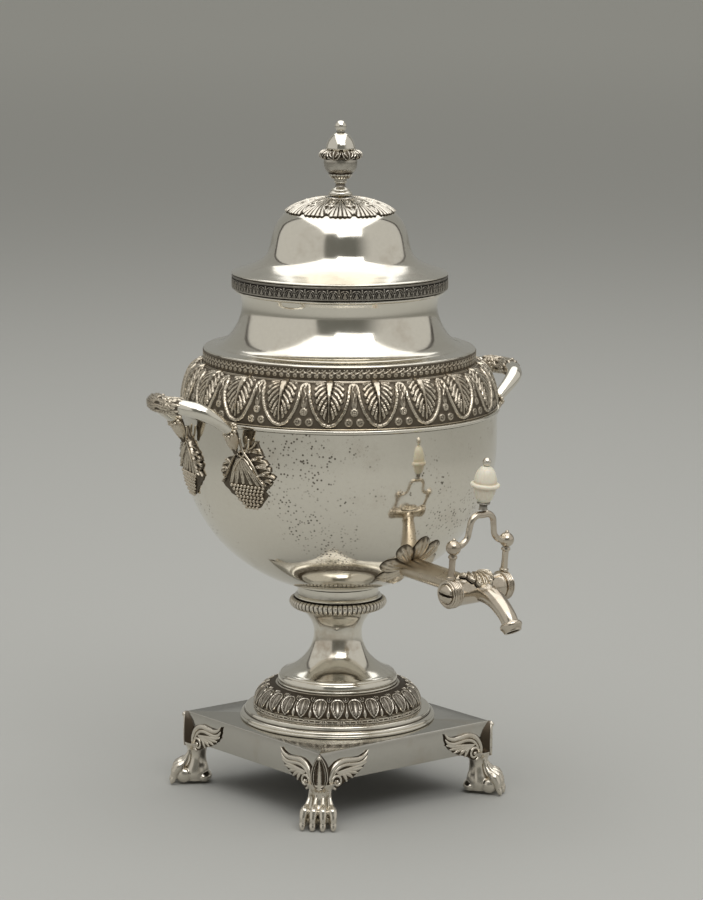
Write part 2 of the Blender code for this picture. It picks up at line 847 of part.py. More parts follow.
def crest_mesh(outward, sideways):
    """Pointed oval that covers the plinth's corner between the wings."""
    corner = math.hypot(PLINTH_HALF, PLINTH_HALF)
    base = PLINTH_BASE + PLINTH_HEIGHT - CREST_HEIGHT
    sides = [(width, up) for width, up in CREST_SHARES]
    sides += [(-width, up) for width, up in CREST_SHARES[::-1]]
    outline = []
    for width, up in sides:
        reach = outward * (corner + CREST_PROUD - CREST_DEPTH)
        outline.append(reach + sideways * CREST_HALF_WIDTH * width + Vector((0, 0, base + CREST_HEIGHT * up)))
    return prism(outline, outward * CREST_DEPTH)


def square_ring(half, height):
    """Four corners of a level square about the axis."""
    return [Vector((half * x, half * y, height)) for x, y in ((1, 1), (-1, 1), (-1, -1), (1, -1))]


def plinth_block(clearance):
    """Solid block of the plinth, larger all round by a clearance."""
    half = PLINTH_HALF + clearance
    top = PLINTH_BASE + PLINTH_HEIGHT + clearance
    return lofted([square_ring(half, PLINTH_BASE), square_ring(half, top)], capped=True)


def make_base(root):
    """Plinth and its four feet."""
    top = PLINTH_BASE + PLINTH_HEIGHT
    inner = PLINTH_HALF - PLINTH_WALL
    tray = lofted(
        [
            square_ring(PLINTH_HALF, PLINTH_BASE),
            square_ring(PLINTH_HALF, top),
        ],
        capped=True,
    )
    hollow = lofted(
        [
            square_ring(inner, PLINTH_BASE - OVERRUN),
            square_ring(inner, top - PLINTH_WALL),
        ],
        capped=True,
    )
    hole = turned(
        [
            (0, PLINTH_BASE),
            (PLINTH_HOLE_RADIUS, PLINTH_BASE),
            (PLINTH_HOLE_RADIUS, top + OVERRUN),
            (0, top + OVERRUN),
        ],
        LARGE_SIDES,
    )
    piece("plinth", combined(tray, [hollow, hole], "DIFFERENCE"), SILVER, root)
    foot = foot_mesh()
    corners = ("foot_back_right", "foot_back_left", "foot_front_left", "foot_front_right")
    for index, name in enumerate(corners):
        piece(name, foot.copy(), DARK_SILVER, root, rotation=(0, 0, math.pi / 2 * index))
    return top


def make_pedestal(root, base):
    """Turned pieces between the plinth and the bowl, each seated on the one below."""
    level = base + SEAT
    step = band(profile(STEP_SHARES, STEP_RADIUS, level, STEP_HEIGHT), STEP_INNER_RADIUS)
    piece("base_step", turned(step, PEDESTAL_SIDES), SILVER, root)
    level += STEP_HEIGHT + SEAT
    lotus = band(profile(LOTUS_SHARES, LOTUS_RADIUS, level, LOTUS_HEIGHT), LOTUS_INNER_RADIUS)
    piece("lotus_ring", turned(lotus, PEDESTAL_SIDES), SILVER, root)
    level += LOTUS_HEIGHT + SEAT
    fillet = band(profile(FILLET_SHARES, FILLET_RADIUS, level, FILLET_HEIGHT), LOTUS_INNER_RADIUS)
    piece("pedestal_fillet", turned(fillet, PEDESTAL_SIDES), SILVER, root)
    level += FILLET_HEIGHT + SEAT
    stem = shell(profile(STEM_SHARES, STEM_RADIUS, level, STEM_HEIGHT), STEM_WALL)
    piece("pedestal_stem", turned(stem, PEDESTAL_SIDES), SILVER, root)
    level += STEM_HEIGHT + SEAT
    gadroon = profile(GADROON_SHARES, GADROON_RADIUS, level, GADROON_HEIGHT)
    piece("gadroon_ring", turned(band(gadroon, GADROON_INNER_RADIUS), PEDESTAL_SIDES), SILVER, root)
    level += GADROON_HEIGHT + SEAT
    belly = bowl_curve(0, BOWL_STEPS)
    collar = [
        (COLLAR_INNER_RADIUS, level),
        (COLLAR_FOOT_RADIUS, level),
        (COLLAR_RADIUS, level + COLLAR_FLARE_HEIGHT),
        (COLLAR_RADIUS, height_on(belly, COLLAR_RADIUS) - SEAT),
        (COLLAR_INNER_RADIUS, height_on(belly, COLLAR_INNER_RADIUS) - SEAT),
    ]
    piece("bowl_collar", turned(collar, PEDESTAL_SIDES), SILVER, root)


def pipe_direction():
    """Direction of the tap's pipe, from the bowl outwards."""
    return Vector((0, -math.cos(PIPE_SLOPE), -math.sin(PIPE_SLOPE)))


def pipe_rod(radius, start, end):
    """Straight rod on the pipe's axis, between two distances from the barrel's centre."""
    centre = Vector((0, BARREL_Y, BARREL_Z))
    along = pipe_direction()
    return rod([centre - along * start, centre - along * end], [radius, radius], TUBE_SIDES)


def make_body(root):
    """Bowl, shoulder and neck."""
    bowl = turned(bowl_section(BOWL_WALL), LARGE_SIDES)
    outlet = pipe_rod(PIPE_BORE_RADIUS, PIPE_START, BARREL_HALF)
    piece("bowl_shell", combined(bowl, [outlet], "DIFFERENCE"), SILVER, root)
    level = BOWL_RIM + SEAT
    wire = band(profile(WIRE_SHARES, WIRE_RADIUS, level, WIRE_HEIGHT), WIRE_INNER_RADIUS)
    piece("frieze_wire", turned(wire, LARGE_SIDES), SILVER, root)
    level += WIRE_HEIGHT + SEAT
    frieze = profile(FRIEZE_SHARES, FRIEZE_RADIUS, level, FRIEZE_HEIGHT)
    raised = offset(frieze, FRIEZE_RELIEF)
    inside = shell(frieze, FRIEZE_WALL)[len(frieze) :: FRIEZE_INNER_STEP]
    piece("acanthus_frieze", chased_ring(frieze, raised, inside), DARK_SILVER, root)
    level += FRIEZE_HEIGHT + SEAT
    fret = band(profile(FRET_SHARES, FRET_RADIUS, level, FRET_HEIGHT), FRET_INNER_RADIUS)
    piece("fret_band", turned(fret, LARGE_SIDES), DARK_SILVER, root)
    level += FRET_HEIGHT + SEAT
    neck = shell(profile(NECK_SHARES, NECK_RADIUS, level, NECK_HEIGHT), NECK_WALL)
    piece("neck_shell", turned(neck, NECK_SIDES), SILVER, root)
    level += NECK_HEIGHT + SEAT
    rim = profile(NECK_RIM_SHARES, NECK_RIM_RADIUS, level, NECK_RIM_HEIGHT)
    piece("neck_rim", turned(band(rim, NECK_RIM_INNER_RADIUS), NECK_SIDES), SILVER, root)
    return level + NECK_RIM_HEIGHT


def make_lid(root, base):
    """Lift-off lid: rim band, bezel, dome and leaf calyx."""
    lid = axis_empty("lid_axis", root)
    level = base + SEAT
    band_outline = profile(LID_BAND_SHARES, LID_BAND_RADIUS, level, LID_BAND_HEIGHT)
    rim_band = turned(band(band_outline, BEZEL_RADIUS + SEAT), NECK_SIDES)
    piece("lid_rim_band", rim_band, SILVER, lid)
    top = level + LID_BAND_HEIGHT
    bezel = [
        (BEZEL_RADIUS - BEZEL_WALL, level - BEZEL_DROP),
        (BEZEL_RADIUS, level - BEZEL_DROP),
        (BEZEL_RADIUS, top),
        (BEZEL_RADIUS - BEZEL_WALL, top),
    ]
    piece("lid_bezel", turned(bezel, NECK_SIDES), SILVER, lid)
    dome = profile(LID_SHARES, LID_RADIUS, top + SEAT, LID_HEIGHT)
    piece("lid_shell", turned(shell(dome, LID_WALL), NECK_SIDES), SILVER, lid)
    crown = top + SEAT + LID_HEIGHT
    make_calyx(lid, dome)
    make_finial(lid, crown)


def make_calyx(lid, dome):
    """Leaf calyx that lies on the crown of the dome."""
    covered = [point for point in dome if CALYX_INNER_RADIUS < point[0] < CALYX_RADIUS]
    covered.append((CALYX_INNER_RADIUS, dome[-1][1]))
    under = offset(covered, SEAT)
    over = offset(covered, SEAT + CALYX_THICKNESS)
    dips = ((0, 1, CALYX_SCALLOP_SHARE), (-1, -2, CALYX_SCALLOP_SHARE))
    cap = turned(over + under[::-1], 2 * CALYX_LEAVES, CALYX_LEAVES, dips)
    piece("lid_leaf_calyx", cap, DARK_SILVER, lid)


def make_finial(lid, crown):
    """Finial: foot, cup, leaf collar, bud and ball on a stud with its nut."""
    bore = STUD_RADIUS + STUD_CLEARANCE
    level = crown + SEAT + CALYX_THICKNESS + SEAT
    foot = profile(FINIAL_FOOT_SHARES, FINIAL_FOOT_RADIUS, level, FINIAL_FOOT_HEIGHT)
    piece("finial_foot", turned(band(foot, bore), SMALL_SIDES), SILVER, lid)
    level += FINIAL_FOOT_HEIGHT + SEAT
    cup = profile(CUP_SHARES, CUP_RADIUS, level, CUP_HEIGHT)
    piece("finial_cup", turned(band(cup, bore), SMALL_SIDES), SILVER, lid)
    level += CUP_HEIGHT + SEAT
    collar = profile(LEAF_COLLAR_SHARES, LEAF_COLLAR_RADIUS, level, LEAF_COLLAR_HEIGHT)
    dips = ((2, 1, LEAF_COLLAR_SCALLOP_SHARE), (3, 4, LEAF_COLLAR_SCALLOP_SHARE))
    leaves = turned(band(collar, bore), 2 * LEAF_COLLAR_LEAVES, LEAF_COLLAR_LEAVES, dips)
    piece("finial_leaf_collar", leaves, DARK_SILVER, lid)
    level += LEAF_COLLAR_HEIGHT + SEAT
    bud = profile(BUD_SHARES, BUD_RADIUS, level, BUD_HEIGHT)
    stud_top = level + STUD_IN_BUD
    bud_section = [
        (0, stud_top + STUD_CLEARANCE),
        (bore, stud_top + STUD_CLEARANCE),
        (bore, level),
        *bud,
        (0, level + BUD_HEIGHT),
    ]
    piece("finial_bud", turned(bud_section, SMALL_SIDES), DARK_SILVER, lid)
    level += BUD_HEIGHT + SEAT
    piece("finial_ball", flat_ball(level, FINIAL_BALL_RADIUS), SILVER, lid)
    nut_top = crown - LID_WALL - SEAT
    nut_base = nut_top - NUT_HEIGHT
    nut = band([(NUT_RADIUS, nut_base), (NUT_RADIUS, nut_top)], bore)
    piece("finial_nut", turned(nut, NUT_SIDES), BRASS, lid)
    stud_base = nut_base - STUD_BELOW_NUT
    stud = [(0, stud_base), (STUD_RADIUS, stud_base), (STUD_RADIUS, stud_top), (0, stud_top)]
    piece("finial_stud", turned(stud, TUBE_SIDES), BRASS, lid)


def flat_ball(base, radius, pin=0, pin_radius=0):
    """Ball with a small flat under it, or with a pin that reaches down from it."""
    centre = base + radius * BALL_FLAT_SHARE
    steps = TUBE_SIDES // 2
    low = math.asin(BALL_FLAT_SHARE)
    section = [(0, base)]
    if pin:
        section = [(0, base - pin), (pin_radius, base - pin), (pin_radius, base)]
    for step in range(steps):
        angle = -low + (low + math.pi / 2) * step / steps
        section.append((radius * math.cos(angle), centre + radius * math.sin(angle)))
    section.append((0, centre + radius))
    return turned(section, TUBE_SIDES)


def grip_path(side):
    """Centre line and radii of one grip, from its front bead over the apex to its back bead."""
    rows = []
    for out, up, spread, thickness in GRIP_SHARES:
        x = HANDLE_ROOT + HANDLE_LENGTH * out
        z = HANDLE_BEAD_Z + HANDLE_RISE * up
        rows.append(Vector((x, -HANDLE_SPREAD * spread, z, GRIP_RADIUS * thickness)))
    rows += [Vector((row[0], -row[1], row[2], row[3])) for row in rows[-2::-1]]
    path = smooth_path(rows, GRIP_STEPS)
    points = [Vector((side * row[0], row[1], row[2])) for row in path]
    radii = [row[3] for row in path]
    return points, radii


def make_handle(root, side, word):
    """One handle: grip, vine wrap, two sockets and two vine leaves on the bowl."""
    points, radii = grip_path(side)
    frames = path_frames(points, Vector((0, 0, 1)))
    rings = [ring_at(*row, TUBE_SIDES) for row in zip(points, frames, radii)]
    piece(f"handle_{word}_grip", lofted(rings, capped=True), SILVER, root)
    reach = HANDLE_SPREAD * WRAP_REACH_SHARE
    chosen = [row for row in zip(points, frames, radii) if abs(row[0].y) < reach]
    clearance = SEAT / math.cos(math.pi / TUBE_SIDES)
    inner = [ring_at(place, frame, radius + clearance, TUBE_SIDES) for place, frame, radius in chosen]
    outer = []
    for index, (place, frame, radius) in enumerate(chosen):
        at_end = index in (0, len(chosen) - 1)
        thickness = WRAP_THICKNESS * (WRAP_END_SHARE if at_end else 1)
        outer.append(ring_at(place, frame, radius + clearance + thickness, TUBE_SIDES))
    piece(f"handle_{word}_vine_wrap", lofted(outer + inner[::-1], capped=False), DARK_SILVER, root)
    for end, end_word in ((-1, "front"), (1, "back")):
        socket = socket_mesh(side, end, points)
        piece(f"handle_{word}_{end_word}_socket", socket, SILVER, root)
        leaf = leaf_mesh(side, end)
        piece(f"handle_{word}_{end_word}_leaf", leaf, DARK_SILVER, root)


def socket_mesh(side, end, points):
    """Socket that turns up from the leaf's stalk to the grip, with a bead at its mouth."""
    ordered = points if end < 0 else points[::-1]
    mouth = ordered[0]
    inward = (ordered[0] - ordered[1]).normalized()
    foot = Vector((side * SOCKET_FOOT_X, end * SOCKET_FOOT_Y, SOCKET_FOOT_Z))
    face = mouth + inward * SEAT
    behind = face + inward * BEAD_LENGTH
    upright = foot + Vector((0, 0, SOCKET_RADIUS))
    bend = foot.lerp(behind, SOCKET_BEND_SHARE)
    path = [foot, *smooth_path([upright, bend, behind], SOCKET_STEPS)]
    taper = [SOCKET_FOOT_RADIUS] * 2 + [SOCKET_RADIUS] * (len(path) - 2)
    edge = inward * BEAD_LENGTH * BEAD_EDGE_SHARE
    path += [behind - edge, face + edge, face]
    taper += [BEAD_RADIUS, BEAD_RADIUS, GRIP_RADIUS]
    return rod(path, taper, TUBE_SIDES, Vector((0, 1, 0)))


def leaf_point(side, end, across, up, lift):
    """Point on the bowl's side: across and up are shares of the leaf's size."""
    height = LEAF_TIP_Z + LEAF_HEIGHT * up
    angle = LEAF_TURN + LEAF_HALF_WIDTH * across / BOWL_RADIUS
    radius = bowl_radius(height) + lift
    return Vector((side * radius * math.cos(angle), end * radius * math.sin(angle), height))


def grape_swell(across, up):
    """Share of the grapes' height at a place on the leaf."""
    centre_across, centre_up = GRAPES_CENTRE_SHARES
    size_across, size_up = GRAPES_SIZE_SHARES
    far = math.hypot((across - centre_across) / size_across, (up - centre_up) / size_up)
    return math.sqrt(max(0, 1 - far**2))


def leaf_mesh(side, end):
    """Vine leaf with its bunch of grapes and the stalk that carries the socket."""
    form = bmesh.new()
    faces = []
    for over in (False, True):
        rows = []
        for up, left, right in LEAF_ROW_SHARES:
            row = []
            for column in range(LEAF_COLUMNS):
                across = left + (right - left) * column / (LEAF_COLUMNS - 1)
                lift = SEAT
                if over:
                    lift += LEAF_THICKNESS + GRAPES_PROUD * grape_swell(across, up)
                row.append(form.verts.new(leaf_point(side, end, across, up, lift)))
            rows.append(row)
        faces.append(rows)
    for rows in faces:
        for lower, upper in zip(rows, rows[1:]):
            for column in range(LEAF_COLUMNS - 1):
                corners = (lower[column], lower[column + 1], upper[column + 1], upper[column])
                form.faces.new(corners)
    edges = []
    for rows in faces:
        right_side = [row[-1] for row in rows[1:-1]]
        left_side = [row[0] for row in rows[1:-1]]
        edges.append(rows[0] + right_side + rows[-1][::-1] + left_side[::-1])
    under, over = edges
    for index in range(len(under)):
        following = (index + 1) % len(under)
        form.faces.new((under[index], under[following], over[following], over[index]))
    stalk_foot = leaf_point(side, end, 0, STALK_FOOT_SHARE, LEAF_THICKNESS)
    stalk_top = Vector((side * SOCKET_FOOT_X, end * SOCKET_FOOT_Y, SOCKET_FOOT_Z - SEAT))
    upright = stalk_top - Vector((0, 0, STALK_RADIUS))
    stalk_path = [stalk_foot, upright, stalk_top]
    stalk = rod(stalk_path, [STALK_RADIUS] * len(stalk_path), TOE_SIDES, Vector((0, 1, 0)))
    return combined(mesh_of(form), [stalk], "UNION")


def to_barrel(point, along):
    """Point slid along a direction in the barrel's cross plane until it clears the barrel."""
    clear = BARREL_RADIUS + SEAT
    centre = Vector((0, BARREL_Y, BARREL_Z))
    from_centre = point - centre
    level = Vector((0, from_centre.y, from_centre.z))
    flat = Vector((0, along.y, along.z)).normalized()
    aside = level - flat * level.dot(flat)
    forward = math.sqrt(clear**2 - aside.length_squared)
    return centre + Vector((from_centre.x, 0, 0)) + aside + flat * forward


def pipe_ring(radius, at_bowl):
    """Ring of the pipe where it meets the bowl or the barrel."""
    along = pipe_direction()
    frame = path_frames([Vector(), along], Vector((1, 0, 0)))[0]
    centre = Vector((0, BARREL_Y, BARREL_Z))
    ring = ring_at(centre, frame, radius, TUBE_SIDES)
    if at_bowl:
        return [on_bowl(point, -along, SEAT) for point in ring]
    return [to_barrel(point, -along) for point in ring]


def rosette_mesh():
    """Leafy rosette on the bowl round the pipe."""
    belly = Vector((0, ROSETTE_Y, height_on(bowl_curve(0, BOWL_STEPS), -ROSETTE_Y)))
    middle = Vector((0, 0, BOWL_BASE + BOWL_DEPTH))
    slope = belly - middle
    normal = Vector((0, slope.y / BOWL_RADIUS**2, slope.z / BOWL_DEPTH**2)).normalized()
    across, down = path_frames([Vector(), normal], Vector((1, 0, 0)))[0]
    sides = ROSETTE_LEAVES * ROSETTE_LEAF_POINTS
    layers = []
    for over in (True, False):
        rings = []
        for out, swell in ROSETTE_RINGS_SHARES:
            ring = []
            for step in range(sides):
                angle = 2 * math.pi * step / sides
                dip = 1 - abs(math.cos(ROSETTE_LEAVES * angle / 2))
                radius = ROSETTE_RADIUS * out * (1 - ROSETTE_SCALLOP_SHARE * dip * out**2)
                start = belly + normal * ROSETTE_RADIUS
                start += radius * (math.cos(angle) * across + ROSETTE_STRETCH_SHARE * math.sin(angle) * down)
                lift = SEAT + (ROSETTE_THICKNESS * swell if over else 0)
                ring.append(on_bowl(start, -normal, lift))
            rings.append(ring)
        layers.append(rings)
    over, under = layers
    leaf_ring = lofted(over + under[::-1], capped=False)
    passage = pipe_rod(PIPE_RADIUS + SEAT, PIPE_START, BARREL_HALF)
    return combined(leaf_ring, [passage], "DIFFERENCE")


def spout_path():
    """Centre line and thickness of the spout, from the barrel's centre to its mouth."""
    rows = []
    for out, down, thickness in SPOUT_SHARES:
        y = BARREL_Y - SPOUT_LENGTH * out
        z = BARREL_Z - SPOUT_DROP * down
        rows.append(Vector((0, y, z, thickness)))
    path = smooth_path(rows[1:], SPOUT_STEPS)
    points = [Vector((row[0], row[1], row[2])) for row in path]
    thickness = [row[3] for row in path]
    return [Vector(rows[0][:3]), *points], [rows[0][3], *thickness]


def spout_rings(radius, points, thickness):
    """Rings along the spout, the first one shaped to the barrel."""
    frames = path_frames(points, Vector((1, 0, 0)))
    radii = [radius * share for share in thickness]
    rings = [ring_at(*row, TUBE_SIDES) for row in zip(points, frames, radii)]
    forward = (points[1] - points[0]).normalized()
    rings[0] = [to_barrel(point, forward) for point in ring_at(points[0], frames[0], radii[0], TUBE_SIDES)]
    return rings


def shell_mesh():
    """Shell palmette that lies over the top of the barrel above the spout."""
    def place(spoke, out, lift):
        """Point of the shell on one of its spokes, lifted off the barrel."""
        angle = math.pi * spoke / SHELL_SPOKES
        x = SHELL_HALF_WIDTH * out * math.cos(angle)
        around = (SHELL_FRONT + SHELL_BACK) * out * math.sin(angle) - SHELL_BACK
        radius = BARREL_RADIUS + SEAT + lift
        turn = around / (BARREL_RADIUS + SEAT)
        return Vector((x, BARREL_Y - radius * math.sin(turn), BARREL_Z + radius * math.cos(turn)))

    layers = []
    for over in (True, False):
        rings = []
        for out, swell in SHELL_RING_SHARES:
            lift = SHELL_THICKNESS * swell if over else 0
            spokes = range(SHELL_SPOKES + 1) if out else range(1)
            rings.append([place(spoke, out, lift) for spoke in spokes])
        layers.append(rings)
    form = bmesh.new()
    grids = [[[form.verts.new(point) for point in ring] for ring in rings] for rings in layers]
    for grid in grids:
        hub = grid[0][0]
        for spoke in range(SHELL_SPOKES):
            form.faces.new((hub, grid[1][spoke], grid[1][spoke + 1]))
            for near, far in zip(grid[1:], grid[2:]):
                form.faces.new((near[spoke], far[spoke], far[spoke + 1], near[spoke + 1]))
    over, under = grids
    for spoke in range(SHELL_SPOKES):
        form.faces.new((over[-1][spoke], over[-1][spoke + 1], under[-1][spoke + 1], under[-1][spoke]))
    for end in (0, -1):
        for near, far in zip(range(len(over) - 1), range(1, len(over))):
            corners = (over[near][end], over[far][end], under[far][end], under[near][end])
            form.faces.new(corners)
    plate = mesh_of(form)
    points, thickness = spout_path()
    frames = path_frames(points, Vector((1, 0, 0)))
    radii = [SPOUT_RADIUS * share + SEAT for share in thickness]
    rings = [ring_at(*row, TUBE_SIDES) for row in zip(points, frames, radii)]
    return combined(plate, [lofted(rings, capped=True)], "DIFFERENCE")


def make_tap(root):
    """Fixed pieces of the tap."""
    pipe = [
        pipe_ring(PIPE_RADIUS, at_bowl=True),
        pipe_ring(PIPE_RADIUS, at_bowl=False),
        pipe_ring(PIPE_BORE_RADIUS, at_bowl=False),
        pipe_ring(PIPE_BORE_RADIUS, at_bowl=True),
    ]
    piece("tap_pipe", lofted(pipe, capped=False), SILVER, root)
    piece("tap_rosette", rosette_mesh(), DARK_SILVER, root)
    place = (0, BARREL_Y, BARREL_Z)
    section = [
        (BORE_WIDE_RADIUS + PLUG_CLEARANCE, -BARREL_HALF),
        (BARREL_RADIUS, -BARREL_HALF),
        (BARREL_RADIUS, BARREL_HALF),
        (BORE_NARROW_RADIUS + PLUG_CLEARANCE, BARREL_HALF),
    ]
    barrel = moved(turned(section, SMALL_SIDES), Matrix.Rotation(math.pi / 2, 4, "Y"))
    to_pipe = -pipe_direction() * (BARREL_RADIUS + OVERRUN)
    to_spout = Vector((0, -BARREL_RADIUS - OVERRUN, 0))
    inlet = rod([Vector(), to_pipe], [PIPE_BORE_RADIUS] * 2, TUBE_SIDES)
    outlet = rod([Vector(), to_spout], [SPOUT_BORE_RADIUS] * 2, TUBE_SIDES)
    piece("tap_barrel", combined(barrel, [inlet, outlet], "DIFFERENCE"), SILVER, root, place)
    points, thickness = spout_path()
    outer = spout_rings(SPOUT_RADIUS, points, thickness)
    inner = spout_rings(SPOUT_BORE_RADIUS, points, [1] * len(thickness))
    piece("tap_spout", lofted(outer + inner[::-1], capped=False), SILVER, root)
    lip = band(profile(LIP_SHARES, LIP_RADIUS, -SEAT - LIP_HEIGHT, LIP_HEIGHT), SPOUT_BORE_RADIUS)
    mouth = points[-1]
    along = (points[-1] - points[-2]).normalized()
    turn = Vector((0, 0, -1)).rotation_difference(along).to_euler()
    piece("spout_lip", turned(lip, SMALL_SIDES), SILVER, root, mouth, turn)
    piece("tap_shell_ornament", shell_mesh(), DARK_SILVER, root)


def make_key(root):
    """Key of the tap, built upright and set forward by its tilt at rest."""
    key = axis_empty("tap_axis", root, (0, BARREL_Y, BARREL_Z), (KEY_TILT, 0, 0))
    half = BARREL_HALF
    leg_start = half + SEAT
    leg_end = leg_start + COLLAR_RING_WIDTH
    shank_bore = SCREW_SHANK_RADIUS + SEAT
    shank_depth = SCREW_SHANK_LENGTH + SEAT
    section = [
        (0, -leg_end + shank_depth),
        (shank_bore, -leg_end + shank_depth),
        (shank_bore, -leg_end),
        (SPIGOT_RADIUS, -leg_end),
        (SPIGOT_RADIUS, -half),
        (BORE_WIDE_RADIUS, -half),
        (BORE_NARROW_RADIUS, half),
        (SPIGOT_RADIUS, half),
        (SPIGOT_RADIUS, leg_end),
        (shank_bore, leg_end),
        (shank_bore, leg_end - shank_depth),
        (0, leg_end - shank_depth),
    ]
    across = Matrix.Rotation(math.pi / 2, 4, "Y")
    plug = moved(turned(section, SMALL_SIDES), across)
    over = Vector((0, 0, BARREL_RADIUS))
    port = rod([-over, over], [PLUG_PORT_RADIUS] * 2, TUBE_SIDES)
    piece("tap_plug", combined(plug, [port], "DIFFERENCE"), BRASS, key)
    for side, word in ((-1, "left"), (1, "right")):
        ring = band(
            [(COLLAR_RING_RADIUS, leg_start), (COLLAR_RING_RADIUS, leg_end)],
            SPIGOT_RADIUS + SEAT,
        )
        ring_mesh = moved(turned(ring, SMALL_SIDES), Matrix.Rotation(side * math.pi / 2, 4, "Y"))
        low = Vector((side * POST_X, 0, (SPIGOT_RADIUS + COLLAR_RING_RADIUS) / 2))
        high = Vector((side * POST_X, 0, YOKE_BALL_Z - YOKE_BALL_RADIUS - SEAT))
        post = rod([low, high], [POST_RADIUS] * 2, POST_SIDES)
        piece(f"key_leg_{word}", combined(ring_mesh, [post], "UNION"), SILVER, key)
        piece(f"key_screw_{word}", screw_mesh(side, leg_end + SEAT), SILVER, key)
    yoke_top = make_yoke(key)
    make_knob(key, yoke_top)


def screw_mesh(side, start):
    """Domed screw with its washer, on the outer end of a leg."""
    section = [
        (0, start - SCREW_SHANK_LENGTH),
        (SCREW_SHANK_RADIUS, start - SCREW_SHANK_LENGTH),
        (SCREW_SHANK_RADIUS, start),
        (SCREW_WASHER_RADIUS, start),
        (SCREW_WASHER_RADIUS, start + SCREW_WASHER_WIDTH),
    ]
    for step in range(SCREW_STEPS + 1):
        angle = math.pi / 2 * step / SCREW_STEPS
        out = SCREW_HEAD_RADIUS * math.cos(angle) if step < SCREW_STEPS else 0
        section.append((out, start + SCREW_WASHER_WIDTH + SCREW_HEAD_WIDTH * math.sin(angle)))
    return moved(turned(section, SMALL_SIDES), Matrix.Rotation(side * math.pi / 2, 4, "Y"))


def make_yoke(key):
    """Bow between the two balls; gives the height of its top."""
    rows = []
    for across, up in YOKE_SHARES:
        rows.append(Vector((-POST_X * across, 0, YOKE_BALL_Z + YOKE_RISE * up)))
    rows += [Vector((-row.x, 0, row.z)) for row in rows[-2::-1]]
    path = smooth_path(rows, YOKE_STEPS)
    bow = rod(path, [YOKE_ARM_RADIUS] * len(path), TOE_SIDES, Vector((0, 1, 0)))
    balls = [
        ball(Vector((side * POST_X, 0, YOKE_BALL_Z)), YOKE_BALL_RADIUS) for side in (-1, 1)
    ]
    piece("lever_yoke", combined(bow, balls, "UNION"), SILVER, key)
    return max(point.z for point in path) + YOKE_ARM_RADIUS


def make_knob(key, yoke_top):
    """Socket, ivory knob and the ball whose pin holds them together."""
    bore = KNOB_PIN_RADIUS + SEAT
    level = yoke_top + SEAT
    socket = profile(KNOB_SOCKET_SHARES, KNOB_SOCKET_RADIUS, level, KNOB_SOCKET_HEIGHT)
    piece("knob_socket", turned(band(socket, bore), SMALL_SIDES), DARK_SILVER, key)
    level += KNOB_SOCKET_HEIGHT + SEAT
    knob = profile(KNOB_SHARES, KNOB_RADIUS, level, KNOB_HEIGHT)
    piece("ivory_knob", turned(band(knob, bore), SMALL_SIDES), IVORY, key)
    level += KNOB_HEIGHT + SEAT
    pin = KNOB_HEIGHT + KNOB_SOCKET_HEIGHT + SEAT
    piece("knob_ball", flat_ball(level, KNOB_BALL_RADIUS, pin, KNOB_PIN_RADIUS), SILVER, key)


def make_heater(root):
    """Heater sleeve on the bowl's floor, and the iron with its eye."""
    floor = height_on(bowl_curve(BOWL_WALL, BOWL_INNER_STEPS), SLEEVE_RADIUS) + SEAT
    inner = SLEEVE_RADIUS - SLEEVE_WALL
    section = [
        (0, floor),
        (SLEEVE_RADIUS, floor),
        (SLEEVE_RADIUS, floor + SLEEVE_HEIGHT),
        (inner, floor + SLEEVE_HEIGHT),
        (inner, floor + SLEEVE_WALL),
        (0, floor + SLEEVE_WALL),
    ]
    piece("heater_sleeve", turned(section, PEDESTAL_SIDES), SILVER, root)
    heater = axis_empty("heater_axis", root)
    base = floor + SLEEVE_WALL + SEAT
    top = base + IRON_HEIGHT
    iron = [
        (0, base),
        (IRON_RADIUS - IRON_CHAMFER, base),
        (IRON_RADIUS, base + IRON_CHAMFER),
        (IRON_RADIUS, top - IRON_CHAMFER),
        (IRON_RADIUS - IRON_CHAMFER, top),
        (0, top),
    ]
    piece("heater_iron", turned(iron, PEDESTAL_SIDES), IRON, heater)
    centre = Vector((0, 0, top + SEAT + EYE_STEM_HEIGHT + EYE_RADIUS))
    rings = []
    for step in range(EYE_STEPS):
        angle = 2 * math.pi * step / EYE_STEPS
        out = Vector((math.cos(angle), 0, math.sin(angle)))
        rings.append(ring_at(centre + out * EYE_RADIUS, (out, Vector((0, 1, 0))), EYE_THICKNESS, TOE_SIDES))
    eye = lofted(rings, capped=False)
    stem = rod(
        [Vector((0, 0, top + SEAT)), centre - Vector((0, 0, EYE_RADIUS))],
        [EYE_THICKNESS, EYE_THICKNESS],
        TOE_SIDES,
    )
    piece("heater_eye", combined(eye, [stem], "UNION"), IRON, heater)


def centre_on_floor(root):
    """Moves the urn so that the middle of its outer box stands over the origin."""
    bpy.context.view_layer.update()
    reaches = []
    for item in bpy.data.objects:
        if item.type == "MESH":
            reaches += [(item.matrix_world @ vertex.co).y for vertex in item.data.vertices]
    root.location.y = -(min(reaches) + max(reaches)) / 2
    bpy.context.view_layer.update()
    print(f"urn axis at y = {root.location.y:.6f}")


def main():
    """Builds the urn."""
    clear_scene()
    root = axis_empty("urn_axis", None)
    plinth_top = make_base(root)
    make_pedestal(root, plinth_top)
    neck_top = make_body(root)
    make_lid(root, neck_top)
    for side, word in ((-1, "left"), (1, "right")):
        make_handle(root, side, word)
    make_tap(root)
    make_key(root)
    make_heater(root)
    centre_on_floor(root)


main()
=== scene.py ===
"""Silver tea urn on four winged paw feet: its dressed model and the studio that it is photographed in.

Sizes in the classes are in millimetres about the urn's axis, with the floor at z = 0, the tap towards -Y
and the handles towards +X and -X. Every piece is made in metres and rides on its body of the frame.
"""

import json
import logging
import math
from abc import ABC, abstractmethod
from collections.abc import Sequence
from dataclasses import dataclass
from enum import Enum

import bpy
import numpy as np
from mathutils import Matrix, Vector


